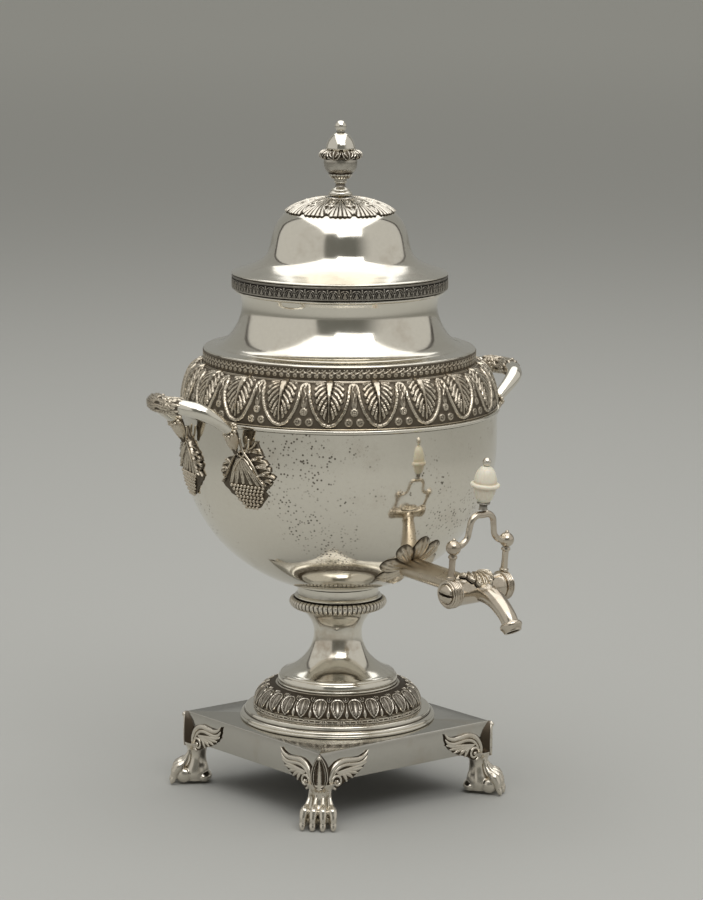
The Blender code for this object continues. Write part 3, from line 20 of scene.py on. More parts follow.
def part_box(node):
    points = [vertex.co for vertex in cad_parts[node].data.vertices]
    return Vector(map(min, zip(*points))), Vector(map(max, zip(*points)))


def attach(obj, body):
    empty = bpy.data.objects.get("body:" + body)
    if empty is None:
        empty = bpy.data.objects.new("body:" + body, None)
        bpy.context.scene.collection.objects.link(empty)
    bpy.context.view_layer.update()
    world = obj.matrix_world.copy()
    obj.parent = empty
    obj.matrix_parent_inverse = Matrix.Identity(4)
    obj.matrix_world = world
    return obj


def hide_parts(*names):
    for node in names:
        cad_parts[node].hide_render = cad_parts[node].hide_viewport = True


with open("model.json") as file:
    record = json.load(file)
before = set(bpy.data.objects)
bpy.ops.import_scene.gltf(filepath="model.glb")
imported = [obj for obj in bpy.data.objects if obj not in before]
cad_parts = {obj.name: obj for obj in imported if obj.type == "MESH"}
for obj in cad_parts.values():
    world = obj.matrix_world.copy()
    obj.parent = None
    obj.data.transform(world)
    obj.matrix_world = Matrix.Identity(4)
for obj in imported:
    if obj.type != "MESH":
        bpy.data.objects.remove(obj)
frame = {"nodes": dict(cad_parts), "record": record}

LOG = logging.getLogger("tea_urn")
MM = 0.001
FULL_TURN = 2 * math.pi
Array = np.ndarray
Path = Sequence[tuple[float, ...]]
Socket = bpy.types.NodeSocket


class Rise(Enum):
    """Cross-section of a chased mark, from its middle line to its edge."""

    ROUND = "round"
    WEDGE = "wedge"
    FLAT = "flat"
    HOLLOW = "hollow"


class Way(Enum):
    """What a mark does to the silver under it."""

    RAISE = "raise"
    SINK = "sink"


class Body(Enum):
    """Bodies of the frame that pieces ride on."""

    URN = "urn_body"
    LID = "lid"
    KEY = "tap_key"


def smooth(points: Path | Array, steps: int = 6) -> Array:
    """Smooth run through the points.

    Args:
        points: points to pass through, in order.
        steps: pieces that each span is cut into.

    Returns:
        The points of the run, one row each.
    """
    p = np.asarray(points, float)
    s = travel(p)
    m = np.gradient(p, s, axis=0) if len(p) > 2 else np.repeat((p[1:] - p[:1]) / s[-1], 2, axis=0)
    t = (np.arange(steps) / steps)[:, None]
    rows = []
    for i, span in enumerate(np.diff(s)):
        rows.append(
            (2 * t**3 - 3 * t**2 + 1) * p[i]
            + (t**3 - 2 * t**2 + t) * span * m[i]
            + (3 * t**2 - 2 * t**3) * p[i + 1]
            + (t**3 - t**2) * span * m[i + 1]
        )
    return np.vstack([*rows, p[-1:]])


def swell(values: Sequence[float], steps: int) -> Array:
    """Smooth run of single values, such as the radii along a rod.

    Args:
        values: values to pass through, evenly spaced.
        steps: pieces that each span is cut into.

    Returns:
        The values of the run.
    """
    return smooth([(k, value) for k, value in enumerate(values)], steps)[:, 1]


def travel(points: Array) -> Array:
    """Distance along a line at each of its points, from 0."""
    return np.r_[0, np.cumsum(np.linalg.norm(np.diff(points, axis=0), axis=1))]


def length_of(points: Array) -> float:
    """Length of a line."""
    return float(np.sum(np.linalg.norm(np.diff(points, axis=0), axis=1)))


def circle_angles(count: int) -> Array:
    """Angles of a count of places round a circle, in radians."""
    return FULL_TURN * np.arange(count) / count


def toward(angle: float) -> Array:
    """Direction of an angle in the plane, one unit long."""
    return np.array([math.cos(angle), math.sin(angle)])


def hoops(side: Array, over: Array, sides: int, flat: float = 1.0) -> Array:
    """Directions round each point of a path.

    Args:
        side: direction across the path at each point.
        over: direction square to both.
        sides: directions wanted at each point.
        flat: share by which they are shorter along over.

    Returns:
        The directions, points by sides by 3.
    """
    angle = circle_angles(sides)[None, :, None]
    return side[:, None] * np.cos(angle) + over[:, None] * np.sin(angle) * flat


def run(*parts: Path | Array) -> Array:
    """Joins lines end to end, keeping the corners between them."""
    return np.vstack([np.asarray(part, float) for part in parts])


def even(points: Array, count: int) -> Array:
    """Points spaced evenly along a line.

    Args:
        points: line to divide.
        count: number of points wanted.

    Returns:
        The new points, one row each.
    """
    s = travel(points)
    at = np.linspace(0, s[-1], count)
    return np.stack([np.interp(at, s, points[:, k]) for k in range(points.shape[1])], axis=1)


def outward(outline: Array) -> Array:
    """Unit normals of an outline that runs upwards on its outer side.

    Args:
        outline: points of radius and height.

    Returns:
        The normals, one row each.
    """
    step = np.gradient(outline, axis=0)
    normal = np.stack([step[:, 1], -step[:, 0]], axis=1)
    return normal / np.maximum(np.linalg.norm(normal, axis=1, keepdims=True), 1e-9)


def inset(outline: Array, wall: float) -> Array:
    """The outline moved inwards by a wall, run backwards so that the two close a section."""
    return (outline - outward(outline) * wall)[::-1]


def blurred(values: Array, reach: int, axis: int, wrap: bool) -> Array:
    """Running average of a grid along one axis.

    Args:
        values: grid to average.
        reach: cells taken on each side.
        axis: axis to average along.
        wrap: whether the grid repeats along it.

    Returns:
        The averaged grid.
    """
    pad = [(0, 0)] * values.ndim
    pad[axis] = (reach + 1, reach)
    wide = np.cumsum(np.pad(values, pad, mode="wrap" if wrap else "edge"), axis=axis)
    size = values.shape[axis]
    high = np.take(wide, np.arange(2 * reach + 1, 2 * reach + 1 + size), axis=axis)
    low = np.take(wide, np.arange(size), axis=axis)
    return (high - low) / (2 * reach + 1)


def line_recess(outline: Array, reach: float = 1.6, span: float = 0.55) -> Array:
    """How deep each point of an outline lies in a groove, from 0 to 1.

    Args:
        outline: points of radius and height.
        reach: distance over which the outline is averaged, in millimetres.
        span: depth that counts as fully dark, in millimetres.

    Returns:
        One value for each point.
    """
    gap = np.linalg.norm(outline[:, None] - outline[None], axis=2)
    weight = np.exp(-((gap / reach) ** 2))
    seg = np.linalg.norm(np.gradient(outline, axis=0), axis=1) + 1e-6
    weight = weight * seg[None]
    mean = weight @ outline / weight.sum(axis=1, keepdims=True)
    return np.clip(np.sum((mean - outline) * outward(outline), axis=1) / span, 0, 1)


class Form:
    """Closed shapes in the making, in millimetres, with how dark each point is: how deep it lies in a recess,
    for tarnish, and painted shade on undersides, in bores and in hidden hollows.
    """

    def __init__(self) -> None:
        """Starts with nothing in it."""
        self.points: list[Array] = []
        self.faces: list[Array] = []
        self.tarnish_and_shade: list[Array] = []
        self.size = 0

    def add(self, points: Array, faces: Sequence[Array], depth: Array | float = 0.0) -> "Form":
        """Adds one closed shape and turns its faces outwards.

        Args:
            points: its points, one row each.
            faces: arrays of faces, each array with one number of corners.
            depth: how dark the points are, from how deep they lie and from painted shade, one value each or
                one for all.

        Returns:
            This form.
        """
        points = np.asarray(points, float).reshape(-1, 3)
        volume = 0.0
        for face in faces:
            first = points[face[:, 0]]
            for k in range(1, face.shape[1] - 1):
                volume += float(np.sum(first * np.cross(points[face[:, k]], points[face[:, k + 1]])))
        turn = -1 if volume < 0 else 1
        self.faces += [face[:, ::turn] + self.size for face in faces]
        self.points.append(points)
        self.tarnish_and_shade.append(np.broadcast_to(np.asarray(depth, float).ravel(), (len(points),)).copy())
        self.size += len(points)
        return self

    def net(self, points: Array, depth: Array | float = 0.0, joined: bool = False) -> "Form":
        """Adds a tube of rows, each closed round, with its ends capped or joined to each other.

        Args:
            points: rows by columns by 3.
            depth: one value for each point, or one for all.
            joined: whether the last row joins the first, as in a ring.

        Returns:
            This form.
        """
        rows, cols = points.shape[:2]
        index = np.arange(rows * cols).reshape(rows, cols)
        near = index if joined else index[:-1]
        far = np.roll(index, -1, axis=0) if joined else index[1:]
        corners = [near, np.roll(near, -1, axis=1), np.roll(far, -1, axis=1), far]
        quads = np.stack(corners, axis=-1).reshape(-1, 4)
        depth = np.broadcast_to(np.asarray(depth, float), (rows, cols)).reshape(-1)
        flat = points.reshape(-1, 3)
        if joined:
            return self.add(flat, [quads], depth)
        flat = np.vstack([flat, points[0].mean(axis=0), points[-1].mean(axis=0)])
        depth = np.r_[depth, depth[index[0]].mean(), depth[index[-1]].mean()]
        low = np.full(cols, rows * cols)
        caps = [
            np.stack([np.roll(index[0], -1), index[0], low], axis=1),
            np.stack([index[-1], np.roll(index[-1], -1), low + 1], axis=1),
        ]
        return self.add(flat, [quads, np.vstack(caps)], depth)

    def turn(
        self,
        outline: Array,
        sides: int = 200,
        back: Array | None = None,
        bore: float | None = None,
        relief: Array | None = None,
        repeats: int = 1,
        phase: float = 0.0,
        dark: float = 1.0,
    ) -> "Form":
        """Adds a shape turned about the axis, with a chased cell repeated round it if one is given.

        Args:
            outline: radius and height of the outer side, running upwards.
            sides: facets round a plain shape.
            back: rest of the section, run back to the start.
            bore: radius of a straight hole, in place of back; without either the ends are capped on the axis.
            relief: height of one cell, rows along the outline by columns round.
            repeats: how many cells go round.
            phase: angle of the middle of the first cell, in radians.
            dark: how strongly recesses count.

        Returns:
            This form.
        """
        if bore is not None:
            back = np.array([(bore, outline[-1, 1]), (bore, outline[0, 1])])
        lines = outline if back is None else np.vstack([outline, back])
        depth = line_recess(outline) * dark
        cols = sides if relief is None else relief.shape[1] * repeats
        angle = phase + FULL_TURN * (np.arange(cols) + 0.5) / cols
        if relief is not None:
            angle -= math.pi / repeats
        rise = np.zeros((len(lines), cols))
        shade = np.zeros((len(lines), cols))
        shade[: len(outline)] = depth[:, None]
        if relief is not None:
            rise[: len(outline)] = np.tile(relief, (1, repeats))
            hollows = np.tile(recess(relief) * dark, (1, repeats))
            shade[: len(outline)] = np.maximum(shade[: len(outline)], hollows)
        normal = np.zeros((len(lines), 2))
        normal[: len(outline)] = outward(outline)
        radius = lines[:, :1] + normal[:, :1] * rise
        height = lines[:, 1:] + normal[:, 1:] * rise
        points = np.stack([radius * np.cos(angle), radius * np.sin(angle), height], axis=2)
        return self.net(points, shade, joined=back is not None)

    def tube(
        self,
        path: Path | Array,
        radii: Sequence[float] | Array | float,
        sides: int = 16,
        up: Sequence[float] | Array = (0, 0, 1),
        flat: float = 1.0,
        depth: float = 0.0,
        round_ends: bool = True,
    ) -> "Form":
        """Adds a rod along a path.

        Args:
            path: points of its middle line.
            radii: its radius, one value or one for each point.
            sides: facets round it.
            up: direction across which it may be flattened.
            flat: thickness along up as a share of the width.
            depth: how dark it is.
            round_ends: whether its ends are domed.

        Returns:
            This form.
        """
        p = np.asarray(path, float)
        r = np.broadcast_to(np.asarray(radii, float), (len(p),)).copy()
        t = np.gradient(p, axis=0)
        t /= np.linalg.norm(t, axis=1, keepdims=True)
        if round_ends:
            turns = np.radians([80, 55, 28])
            head = [p[0] - t[0] * r[0] * math.sin(a) * 0.9 for a in turns]
            tail = [p[-1] + t[-1] * r[-1] * math.sin(a) * 0.9 for a in turns[::-1]]
            p = np.vstack([head, p, tail])
            r = np.r_[[r[0] * math.cos(a) for a in turns], r, [r[-1] * math.cos(a) for a in turns[::-1]]]
            t = np.vstack([[t[0]] * 3, t, [t[-1]] * 3])
        side = np.cross(t, np.broadcast_to(np.asarray(up, float), p.shape))
        side /= np.maximum(np.linalg.norm(side, axis=1, keepdims=True), 1e-6)
        ring = hoops(side, np.cross(side, t), sides, flat)
        return self.net(p[:, None] + ring * r[:, None, None], depth)

    def pipe(self, path: Path | Array, radii: Array | Sequence[float], bore: float,
             sides: int = 40) -> "Form":
        """Adds a bent pipe that is open at both ends, with its bore painted dark as shade.

        Args:
            path: points of its middle line.
            radii: its outer radius at each point.
            bore: its inner radius.
            sides: facets round it.

        Returns:
            This form.
        """
        p = np.asarray(path, float)
        t = np.gradient(p, axis=0)
        t /= np.linalg.norm(t, axis=1, keepdims=True)
        side = np.array([1.0, 0, 0]) - t * t[:, :1]
        side /= np.linalg.norm(side, axis=1, keepdims=True)
        ring = hoops(side, np.cross(side, t), sides)
        outer = p[:, None] + ring * np.asarray(radii, float)[:, None, None]
        inner = (p[:, None] + ring * bore)[::-1]
        # Painted shade: the inner rows of the bore are made dark.
        depth = np.r_[np.zeros(len(p)), np.full(len(p), 0.9)]
        return self.net(np.vstack([outer, inner]), depth[:, None], joined=True)

    def sheet(self, over: Array, under: Array, depth: Array | float = 0.0) -> "Form":
        """Adds a plate between two grids of points, closed along its edges, with its under side painted dark
        as shade.

        Args:
            over: points of its upper side, rows by columns by 3.
            under: points of its lower side, on the same grid.
            depth: one value for each upper point, or one for all.

        Returns:
            This form.
        """
        depth = np.broadcast_to(np.asarray(depth, float), over.shape[:2])
        points = np.concatenate([over, under[:, ::-1]], axis=1)
        # Painted shade: the under side is made dark.
        return self.net(points, np.concatenate([depth, depth[:, ::-1] * 0 + 0.8], axis=1))

    def ball(
        self,
        centre: Sequence[float],
        radii: Sequence[float] | float,
        sides: int = 14,
        depth: float = 0.0,
        turn: Matrix | None = None,
    ) -> "Form":
        """Adds a ball or an egg.

        Args:
            centre: its middle.
            radii: its radius, or one for each direction.
            sides: facets round it.
            depth: how dark it is.
            turn: rotation of the egg.

        Returns:
            This form.
        """
        rows = max(sides // 2, 4)
        tilt = np.linspace(-math.pi / 2, math.pi / 2, rows + 1)[1:-1]
        angle = circle_angles(sides)
        unit = np.stack(
            [
                np.cos(tilt)[:, None] * np.cos(angle),
                np.cos(tilt)[:, None] * np.sin(angle),
                np.broadcast_to(np.sin(tilt)[:, None], (len(tilt), sides)),
            ],
            axis=2,
        )
        points = unit * np.broadcast_to(np.asarray(radii, float), (3,))
        if turn is not None:
            points = points @ np.array(turn.to_3x3()).T
        form = Form().net(points + np.asarray(centre, float), depth)
        ends = np.array([[0, 0, -1.0], [0, 0, 1.0]]) * np.broadcast_to(np.asarray(radii, float), (3,))
        if turn is not None:
            ends = ends @ np.array(turn.to_3x3()).T
        form.points[0][-2:] = ends + np.asarray(centre, float)
        return self.join(form)

    def join(self, other: "Form") -> "Form":
        """Adds all of another form to this one.

        Args:
            other: form to add.

        Returns:
            This form.
        """
        self.faces += [face + self.size for face in other.faces]
        self.points += [points.copy() for points in other.points]
        self.tarnish_and_shade += [depth.copy() for depth in other.tarnish_and_shade]
        self.size += other.size
        return self

    def placed(self, matrix: Matrix) -> "Form":
        """Copy of this form after a move; a mirror turns its faces back.

        Args:
            matrix: the move.

        Returns:
            The copy.
        """
        moved = Form().join(self)
        turn = np.array(matrix)
        moved.points = [points @ turn[:3, :3].T + turn[:3, 3] for points in moved.points]
        if matrix.determinant() < 0:
            moved.faces = [face[:, ::-1] for face in moved.faces]
        return moved

    def mesh(self, name: str, shift: float) -> bpy.types.Mesh:
        """Mesh of the form, in metres.

        Args:
            name: name of the mesh.
            shift: how far the urn's axis lies along Y, in metres.

        Returns:
            The mesh, with its tarnish and painted shade as a point attribute named depth.
        """
        mesh = bpy.data.meshes.new(name)
        points = np.vstack(self.points) * MM + (0, shift, 0)
        mesh.vertices.add(len(points))
        mesh.vertices.foreach_set("co", points.ravel())
        loops = np.concatenate([face.ravel() for face in self.faces])
        corners = np.concatenate([np.full(len(face), face.shape[1]) for face in self.faces])
        mesh.loops.add(len(loops))
        mesh.loops.foreach_set("vertex_index", loops.astype(np.int32))
        mesh.polygons.add(len(corners))
        mesh.polygons.foreach_set("loop_start", np.r_[0, np.cumsum(corners)[:-1]].astype(np.int32))
        mesh.update(calc_edges=True)
        layer = mesh.attributes.new("depth", "FLOAT", "POINT")
        layer.data.foreach_set("value", np.concatenate(self.tarnish_and_shade).astype(np.float32))
        return mesh

    def fused(self, voxel: float, rounds: int, span: float, wear: int = 14) -> "Form":
        """One skin round all the shapes, softened, with its hollows marked as deep.

        Args:
            voxel: size of its facets, in millimetres.
            rounds: how often it is softened.
            span: depth that counts as fully dark, in millimetres.
            wear: further rounds of the copy that hollows are measured from.

        Returns:
            The new form.
        """
        item = bpy.data.objects.new("fusing", self.mesh("fusing", 0.0))
        bpy.context.collection.objects.link(item)
        remesh = item.modifiers.new("skin", "REMESH")
        remesh.mode = "VOXEL"
        remesh.voxel_size = voxel * MM
        soften = item.modifiers.new("soften", "SMOOTH")
        soften.factor, soften.iterations = 0.5, rounds
        skin = bpy.data.meshes.new_from_object(item.evaluated_get(bpy.context.evaluated_depsgraph_get()))
        soften.iterations = rounds + wear
        worn = bpy.data.meshes.new_from_object(item.evaluated_get(bpy.context.evaluated_depsgraph_get()))
        bpy.data.objects.remove(item, do_unlink=True)
        points, normals, soft = (np.empty(len(skin.vertices) * 3) for _ in range(3))
        skin.vertices.foreach_get("co", points)
        skin.vertices.foreach_get("normal", normals)
        worn.vertices.foreach_get("co", soft)
        points, normals, soft = (values.reshape(-1, 3) for values in (points, normals, soft))
        depth = np.clip(np.sum((soft - points) * normals, axis=1) / MM / span + 0.12, 0, 1)
        sizes = np.empty(len(skin.polygons), np.int32)
        starts = np.empty(len(skin.polygons), np.int32)
        loops = np.empty(len(skin.loops), np.int32)
        skin.polygons.foreach_get("loop_total", sizes)
        skin.polygons.foreach_get("loop_start", starts)
        skin.loops.foreach_get("vertex_index", loops)
        faces = []
        for count in np.unique(sizes):
            first = starts[sizes == count]
            faces.append(loops[first[:, None] + np.arange(count)[None]])
        return Form().add(points / MM, faces, depth)


def recess(relief: Array) -> Array:
    """How deep each point of a chased cell lies.

    Args:
        relief: height of each point.

    Returns:
        Depths from 0 on the crests to 1 in the hollows.
    """
    top = max(float(relief.max()), 1e-6)
    near = blurred(blurred(relief, 2, 1, True), 2, 0, False)
    wide = blurred(blurred(relief, 6, 1, True), 6, 0, False)
    below = np.clip((near - relief) / (0.16 * top), 0, 1) * 0.8
    below = below + np.clip((wide - relief) / (0.5 * top), 0, 1)
    return np.clip(below + 0.45 * (1 - np.clip(relief / top, 0, 1)) ** 1.5, 0, 1)


class Chasing:
    """Height of chased silver over a grid of places, built up mark by mark."""

    def __init__(self, u: Array, v: Array, period: float = 0.0, mirror: bool = False) -> None:
        """Starts flat.

        Args:
            u: place of each point across, in millimetres.
            v: place of each point along.
            period: width after which the pattern repeats across, or 0.
            mirror: whether each mark is also made on the other side of u = 0.
        """
        self.u, self.v, self.period, self.mirror = u, v, period, mirror
        self.height = np.zeros(u.shape)

    def mark(
        self,
        path: Path | Array,
        width: float | Sequence[float],
        height: float,
        rise: Rise = Rise.ROUND,
        way: Way = Way.RAISE,
        bend: int = 6,
    ) -> "Chasing":
        """Makes one stroke.

        Args:
            path: its middle line; one point makes a boss.
            width: half width, one value or one for each point.
            height: how much it stands out, or sinks.
            rise: its cross-section.
            way: what it does to what is there.
            bend: pieces that each span is smoothed into; 1 keeps it straight.

        Returns:
            This chasing.
        """
        line = np.asarray(path, float)
        wide = np.broadcast_to(np.asarray(width, float), (len(line),))
        rows = np.column_stack([line, wide])
        rows = smooth(rows, bend) if len(rows) > 2 and bend > 1 else rows
        sides = (1, -1) if self.mirror and np.abs(rows[:, 0]).max() > 1e-6 else (1,)
        jumps = (-self.period, 0, self.period) if self.period else (0,)
        for side in sides:
            for jump in jumps:
                self.stroke(rows * (side, 1, 1) + (jump, 0, 0), height, rise, way)
        return self

    def stroke(self, rows: Array, height: float, rise: Rise, way: Way) -> None:
        """Changes the heights near one line.

        Args:
            rows: place across, place along and half width of each point.
            height: how much the stroke stands out, or sinks.
            rise: its cross-section.
            way: what it does to what is there.
        """
        reach = rows[:, 2].max()
        box = (
            (self.u > rows[:, 0].min() - reach)
            & (self.u < rows[:, 0].max() + reach)
            & (self.v > rows[:, 1].min() - reach)
            & (self.v < rows[:, 1].max() + reach)
        )
        if not box.any():
            return
        u, v = self.u[box], self.v[box]
        best = np.full(u.shape, 9.0)
        if len(rows) == 1:
            best = np.hypot(u - rows[0, 0], v - rows[0, 1]) / rows[0, 2]
        for a, b in zip(rows[:-1], rows[1:]):
            du, dv = b[0] - a[0], b[1] - a[1]
            t = np.clip(((u - a[0]) * du + (v - a[1]) * dv) / max(du * du + dv * dv, 1e-9), 0, 1)
            gap = np.hypot(u - a[0] - t * du, v - a[1] - t * dv)
            best = np.minimum(best, gap / np.maximum(a[2] + t * (b[2] - a[2]), 0.02))
        x = np.clip(best, 0, 1)
        shape = {
            Rise.ROUND: np.sqrt(np.maximum(1 - x * x, 0)),
            Rise.WEDGE: 1 - x,
            Rise.FLAT: np.clip((1 - x) * 4, 0, 1),
            Rise.HOLLOW: np.clip((1 - x) * 4, 0, 1) * (0.4 + 0.6 * np.clip((x - 0.25) * 2, 0, 1)),
        }[rise]
        old = self.height[box]
        new = height * shape
        raised = np.where(best < 1, np.maximum(old, new), old)
        self.height[box] = raised if way is Way.RAISE else old - new

    def leaf(self, path: Path, widths: Sequence[float], height: float, veins: int = 0) -> "Chasing":
        """Makes a swelling leaf with a sunk midrib and slanting veins.

        Args:
            path: its middle line from the stem to the tip.
            widths: half width at each point.
            height: how much it stands out.
            veins: pairs of side veins.

        Returns:
            This chasing.
        """
        self.mark(path, widths, height)
        self.mark(path, 0.22, height * 0.35, Rise.WEDGE, Way.SINK)
        line = smooth(path, 8)
        for k in range(veins):
            i = int((k + 0.6) / (veins + 0.4) * (len(line) - 4))
            step = line[i + 3] - line[i]
            step = step / (np.linalg.norm(step) + 1e-9)
            wide = np.interp(i / (len(line) - 1), np.linspace(0, 1, len(widths)), widths)
            for side in (-1, 1):
                tip = line[i] + step * wide * 0.8 + np.array([step[1], -step[0]]) * side * wide * 0.85
                self.mark([line[i], tip], 0.2, height * 0.25, Rise.WEDGE, Way.SINK, 1)
        return self


def cell(width: float, length: float, columns: int, rows: int) -> tuple[Array, Array]:
    """Grid of places over one repeat.

    Args:
        width: its width, centred on 0.
        length: its length, from 0.
        columns: points across.
        rows: points along.

    Returns:
        The places across and along.
    """
    u = (np.arange(columns) + 0.5) / columns * width - width / 2
    return np.meshgrid(u, np.linspace(0, length, rows))


class Shader:
    """Material in the making: adds nodes and joins them."""

    def __init__(self, name: str, owner: bpy.types.World | None = None) -> None:
        """Starts an empty material, or empties the nodes of a world.

        Args:
            name: name of the material.
            owner: world to work on, if it isn't a material.
        """
        self.owner = owner or bpy.data.materials.new(name)
        self.owner.use_nodes = True
        self.tree = self.owner.node_tree
        self.tree.nodes.clear()

    def node(self, kind: str, inputs: dict[str | int, object] | None = None,
             **settings: object) -> bpy.types.Node:
        """Adds a node.

        Args:
            kind: its type, without the leading ShaderNode.
            inputs: value or socket for each input.
            **settings: its properties.

        Returns:
            The node.
        """
        node = self.tree.nodes.new(f"ShaderNode{kind}")
        for key, value in settings.items():
            setattr(node, key, value)
        for key, value in (inputs or {}).items():
            if isinstance(value, Socket):
                self.tree.links.new(value, node.inputs[key])
            else:
                node.inputs[key].default_value = value
        return node

    def math(self, operation: str, a: object, b: object = 0.0, clamp: bool = False) -> Socket:
        """Result of one sum of two values."""
        return self.node("Math", {0: a, 1: b}, operation=operation, use_clamp=clamp).outputs[0]

    def span(self, value: object, low: float, high: float, start: float = 0.0, end: float = 1.0) -> Socket:
        """Value stretched from low and high to start and end, softly and without going past them."""
        inputs = {"Value": value, "From Min": low, "From Max": high, "To Min": start, "To Max": end}
        return self.node("MapRange", inputs, interpolation_type="SMOOTHSTEP").outputs[0]

    def noise(self, vector: object, scale: float, detail: float = 3.0, rough: float = 0.55) -> Socket:
        """Cloudy pattern; the scale is in features for each metre."""
        inputs = {"Vector": vector, "Scale": scale, "Detail": detail, "Roughness": rough}
        return self.node("TexNoise", inputs).outputs[0]

    def mix(self, share: object, a: object, b: object) -> Socket:
        """Colour between two colours.

        Args:
            share: share of the second colour.
            a: first colour.
            b: second colour.

        Returns:
            The socket with the colour.
        """
        node = self.node("Mix", data_type="RGBA")
        for key, value in ((0, share), (6, a), (7, b)):
            if isinstance(value, Socket):
                self.tree.links.new(value, node.inputs[key])
            else:
                node.inputs[key].default_value = value if key == 0 else (*value, 1.0)
        return node.outputs[2]

    def finished(self, sockets: dict[str, object]) -> bpy.types.Material:
        """Adds the surface.

        Args:
            sockets: value or socket for each of its inputs.

        Returns:
            The finished material.
        """
        surface = self.node("BsdfPrincipled", sockets)
        out = self.node("OutputMaterial")
        self.tree.links.new(surface.outputs[0], out.inputs[0])
        return self.owner


@dataclass(frozen=True)
class Silver:
    """Polished or chased silver with brown and black tarnish where polishing doesn't reach, and painted shade
    where the depth attribute marks undersides, bores and hidden hollows.
    """

    name: str
    tone: tuple[float, float, float] = (0.84, 0.80, 0.71)
    # Colour of tarnish, also the colour of painted shade.
    tarnish_and_shade_colour: tuple[float, float, float] = (0.080, 0.060, 0.042)
    stain: tuple[float, float, float] = (0.40, 0.31, 0.21)
    roughness: float = 0.10
    stained: float = 0.3
    darkened: float = 1.0
    pitted: float = 0.0
    hammered: float = 0.05
    dark_edge: tuple[float, float] = (0.18, 0.78)
    film_edge: tuple[float, float] = (0.52, 0.74)
    pits_each_metre: float = 420.0

    def material(self) -> bpy.types.Material:
        """Makes the material.

        Returns:
            The finished material.
        """
        s = Shader(self.name)
        place = s.node("TexCoord").outputs["Object"]
        deep = s.node("Attribute", attribute_name="depth").outputs["Fac"]
        cloud = s.noise(place, 34, 5, 0.6)
        grain = s.noise(place, 420, 3, 0.6)
        rub = s.noise(place, 130, 4, 0.6)
        edge = s.math("ADD", deep, s.math("MULTIPLY", s.math("SUBTRACT", rub, 0.5), 0.35))
        # The depth attribute holds tarnish in recesses and painted shade on undersides, in bores and in
        # hidden hollows; both pull the colour to the dark tarnish colour.
        dark = s.math("MULTIPLY", s.span(edge, *self.dark_edge), self.darkened, True)
        film = s.math("MULTIPLY", s.span(cloud, *self.film_edge), self.stained, True)
        worn = s.mix(s.span(grain, 0.3, 0.8, 0.0, 0.25), self.tone, tuple(0.86 * c for c in self.tone))
        colour = s.mix(dark, s.mix(film, worn, self.stain), self.tarnish_and_shade_colour)
        rough = s.span(cloud, 0.3, 0.75, self.roughness, self.roughness + 0.09)
        rough = s.math("ADD", rough, s.math("MULTIPLY", dark, 0.3))
        relief = s.math("MULTIPLY", grain, self.hammered)
        if self.pitted:
            inputs = {"Vector": place, "Scale": self.pits_each_metre}
            spots = s.node("TexVoronoi", inputs, feature="F1").outputs["Distance"]
            where = s.span(s.math("ADD", s.noise(place, 17, 2), s.math("MULTIPLY", rub, 0.5)), 0.76, 0.92)
            round_spots = s.span(spots, 0.36, 0.16)
            pits = s.math("MULTIPLY", round_spots, s.math("MULTIPLY", where, self.pitted), True)
            colour = s.mix(pits, colour, self.tarnish_and_shade_colour)
            relief = s.math("SUBTRACT", relief, s.math("MULTIPLY", pits, 0.4))
        bump = s.node("Bump", {"Height": relief, "Strength": 0.16, "Distance": 0.0006}).outputs[0]
        return s.finished({"Base Color": colour, "Metallic": 1.0, "Roughness": rough, "Normal": bump})


@dataclass(frozen=True)
class Ivory:
    """Old polished ivory with faint streaks and darkened grooves."""

    name: str
    pale: tuple[float, float, float] = (0.86, 0.81, 0.68)
    warm: tuple[float, float, float] = (0.70, 0.61, 0.44)

    def material(self) -> bpy.types.Material:
        """Makes the material.

        Returns:
            The finished material.
        """
        s = Shader(self.name)
        place = s.node("TexCoord").outputs["Object"]
        long = s.node("Mapping", {"Vector": place, "Scale": (1.0, 1.0, 0.12)}).outputs[0]
        streaks = s.noise(long, 900, 4)
        deep = s.node("Attribute", attribute_name="depth").outputs["Fac"]
        share = s.math("ADD", s.span(streaks, 0.35, 0.75, 0.0, 0.35), s.math("MULTIPLY", deep, 0.9), True)
        bump = s.node("Bump", {"Height": streaks, "Strength": 0.1, "Distance": 0.0003}).outputs[0]
        return s.finished(
            {
                "Base Color": s.mix(share, self.pale, self.warm),
                "Roughness": s.span(streaks, 0.2, 0.8, 0.26, 0.38),
                "Subsurface Weight": 0.12,
                "Subsurface Scale": 0.002,
                "Normal": bump,
            }
        )


@dataclass(frozen=True)
class Metal:
    """Plain metal with a cloudy colour and a cast or turned grain."""

    name: str
    light: tuple[float, float, float]
    dark: tuple[float, float, float]
    roughness: float
    grain: float

    def material(self) -> bpy.types.Material:
        """Makes the material.

        Returns:
            The finished material.
        """
        s = Shader(self.name)
        place = s.node("TexCoord").outputs["Object"]
        cloud = s.noise(place, 60, 5, 0.6)
        fine = s.noise(place, 1200, 3)
        bump = s.node("Bump", {"Height": fine, "Strength": self.grain, "Distance": 0.0004}).outputs[0]
        colour = s.mix(s.span(cloud, 0.35, 0.7), self.light, self.dark)
        rough = s.span(cloud, 0.3, 0.7, self.roughness, self.roughness + 0.15)
        return s.finished({"Base Color": colour, "Metallic": 1.0, "Roughness": rough, "Normal": bump})


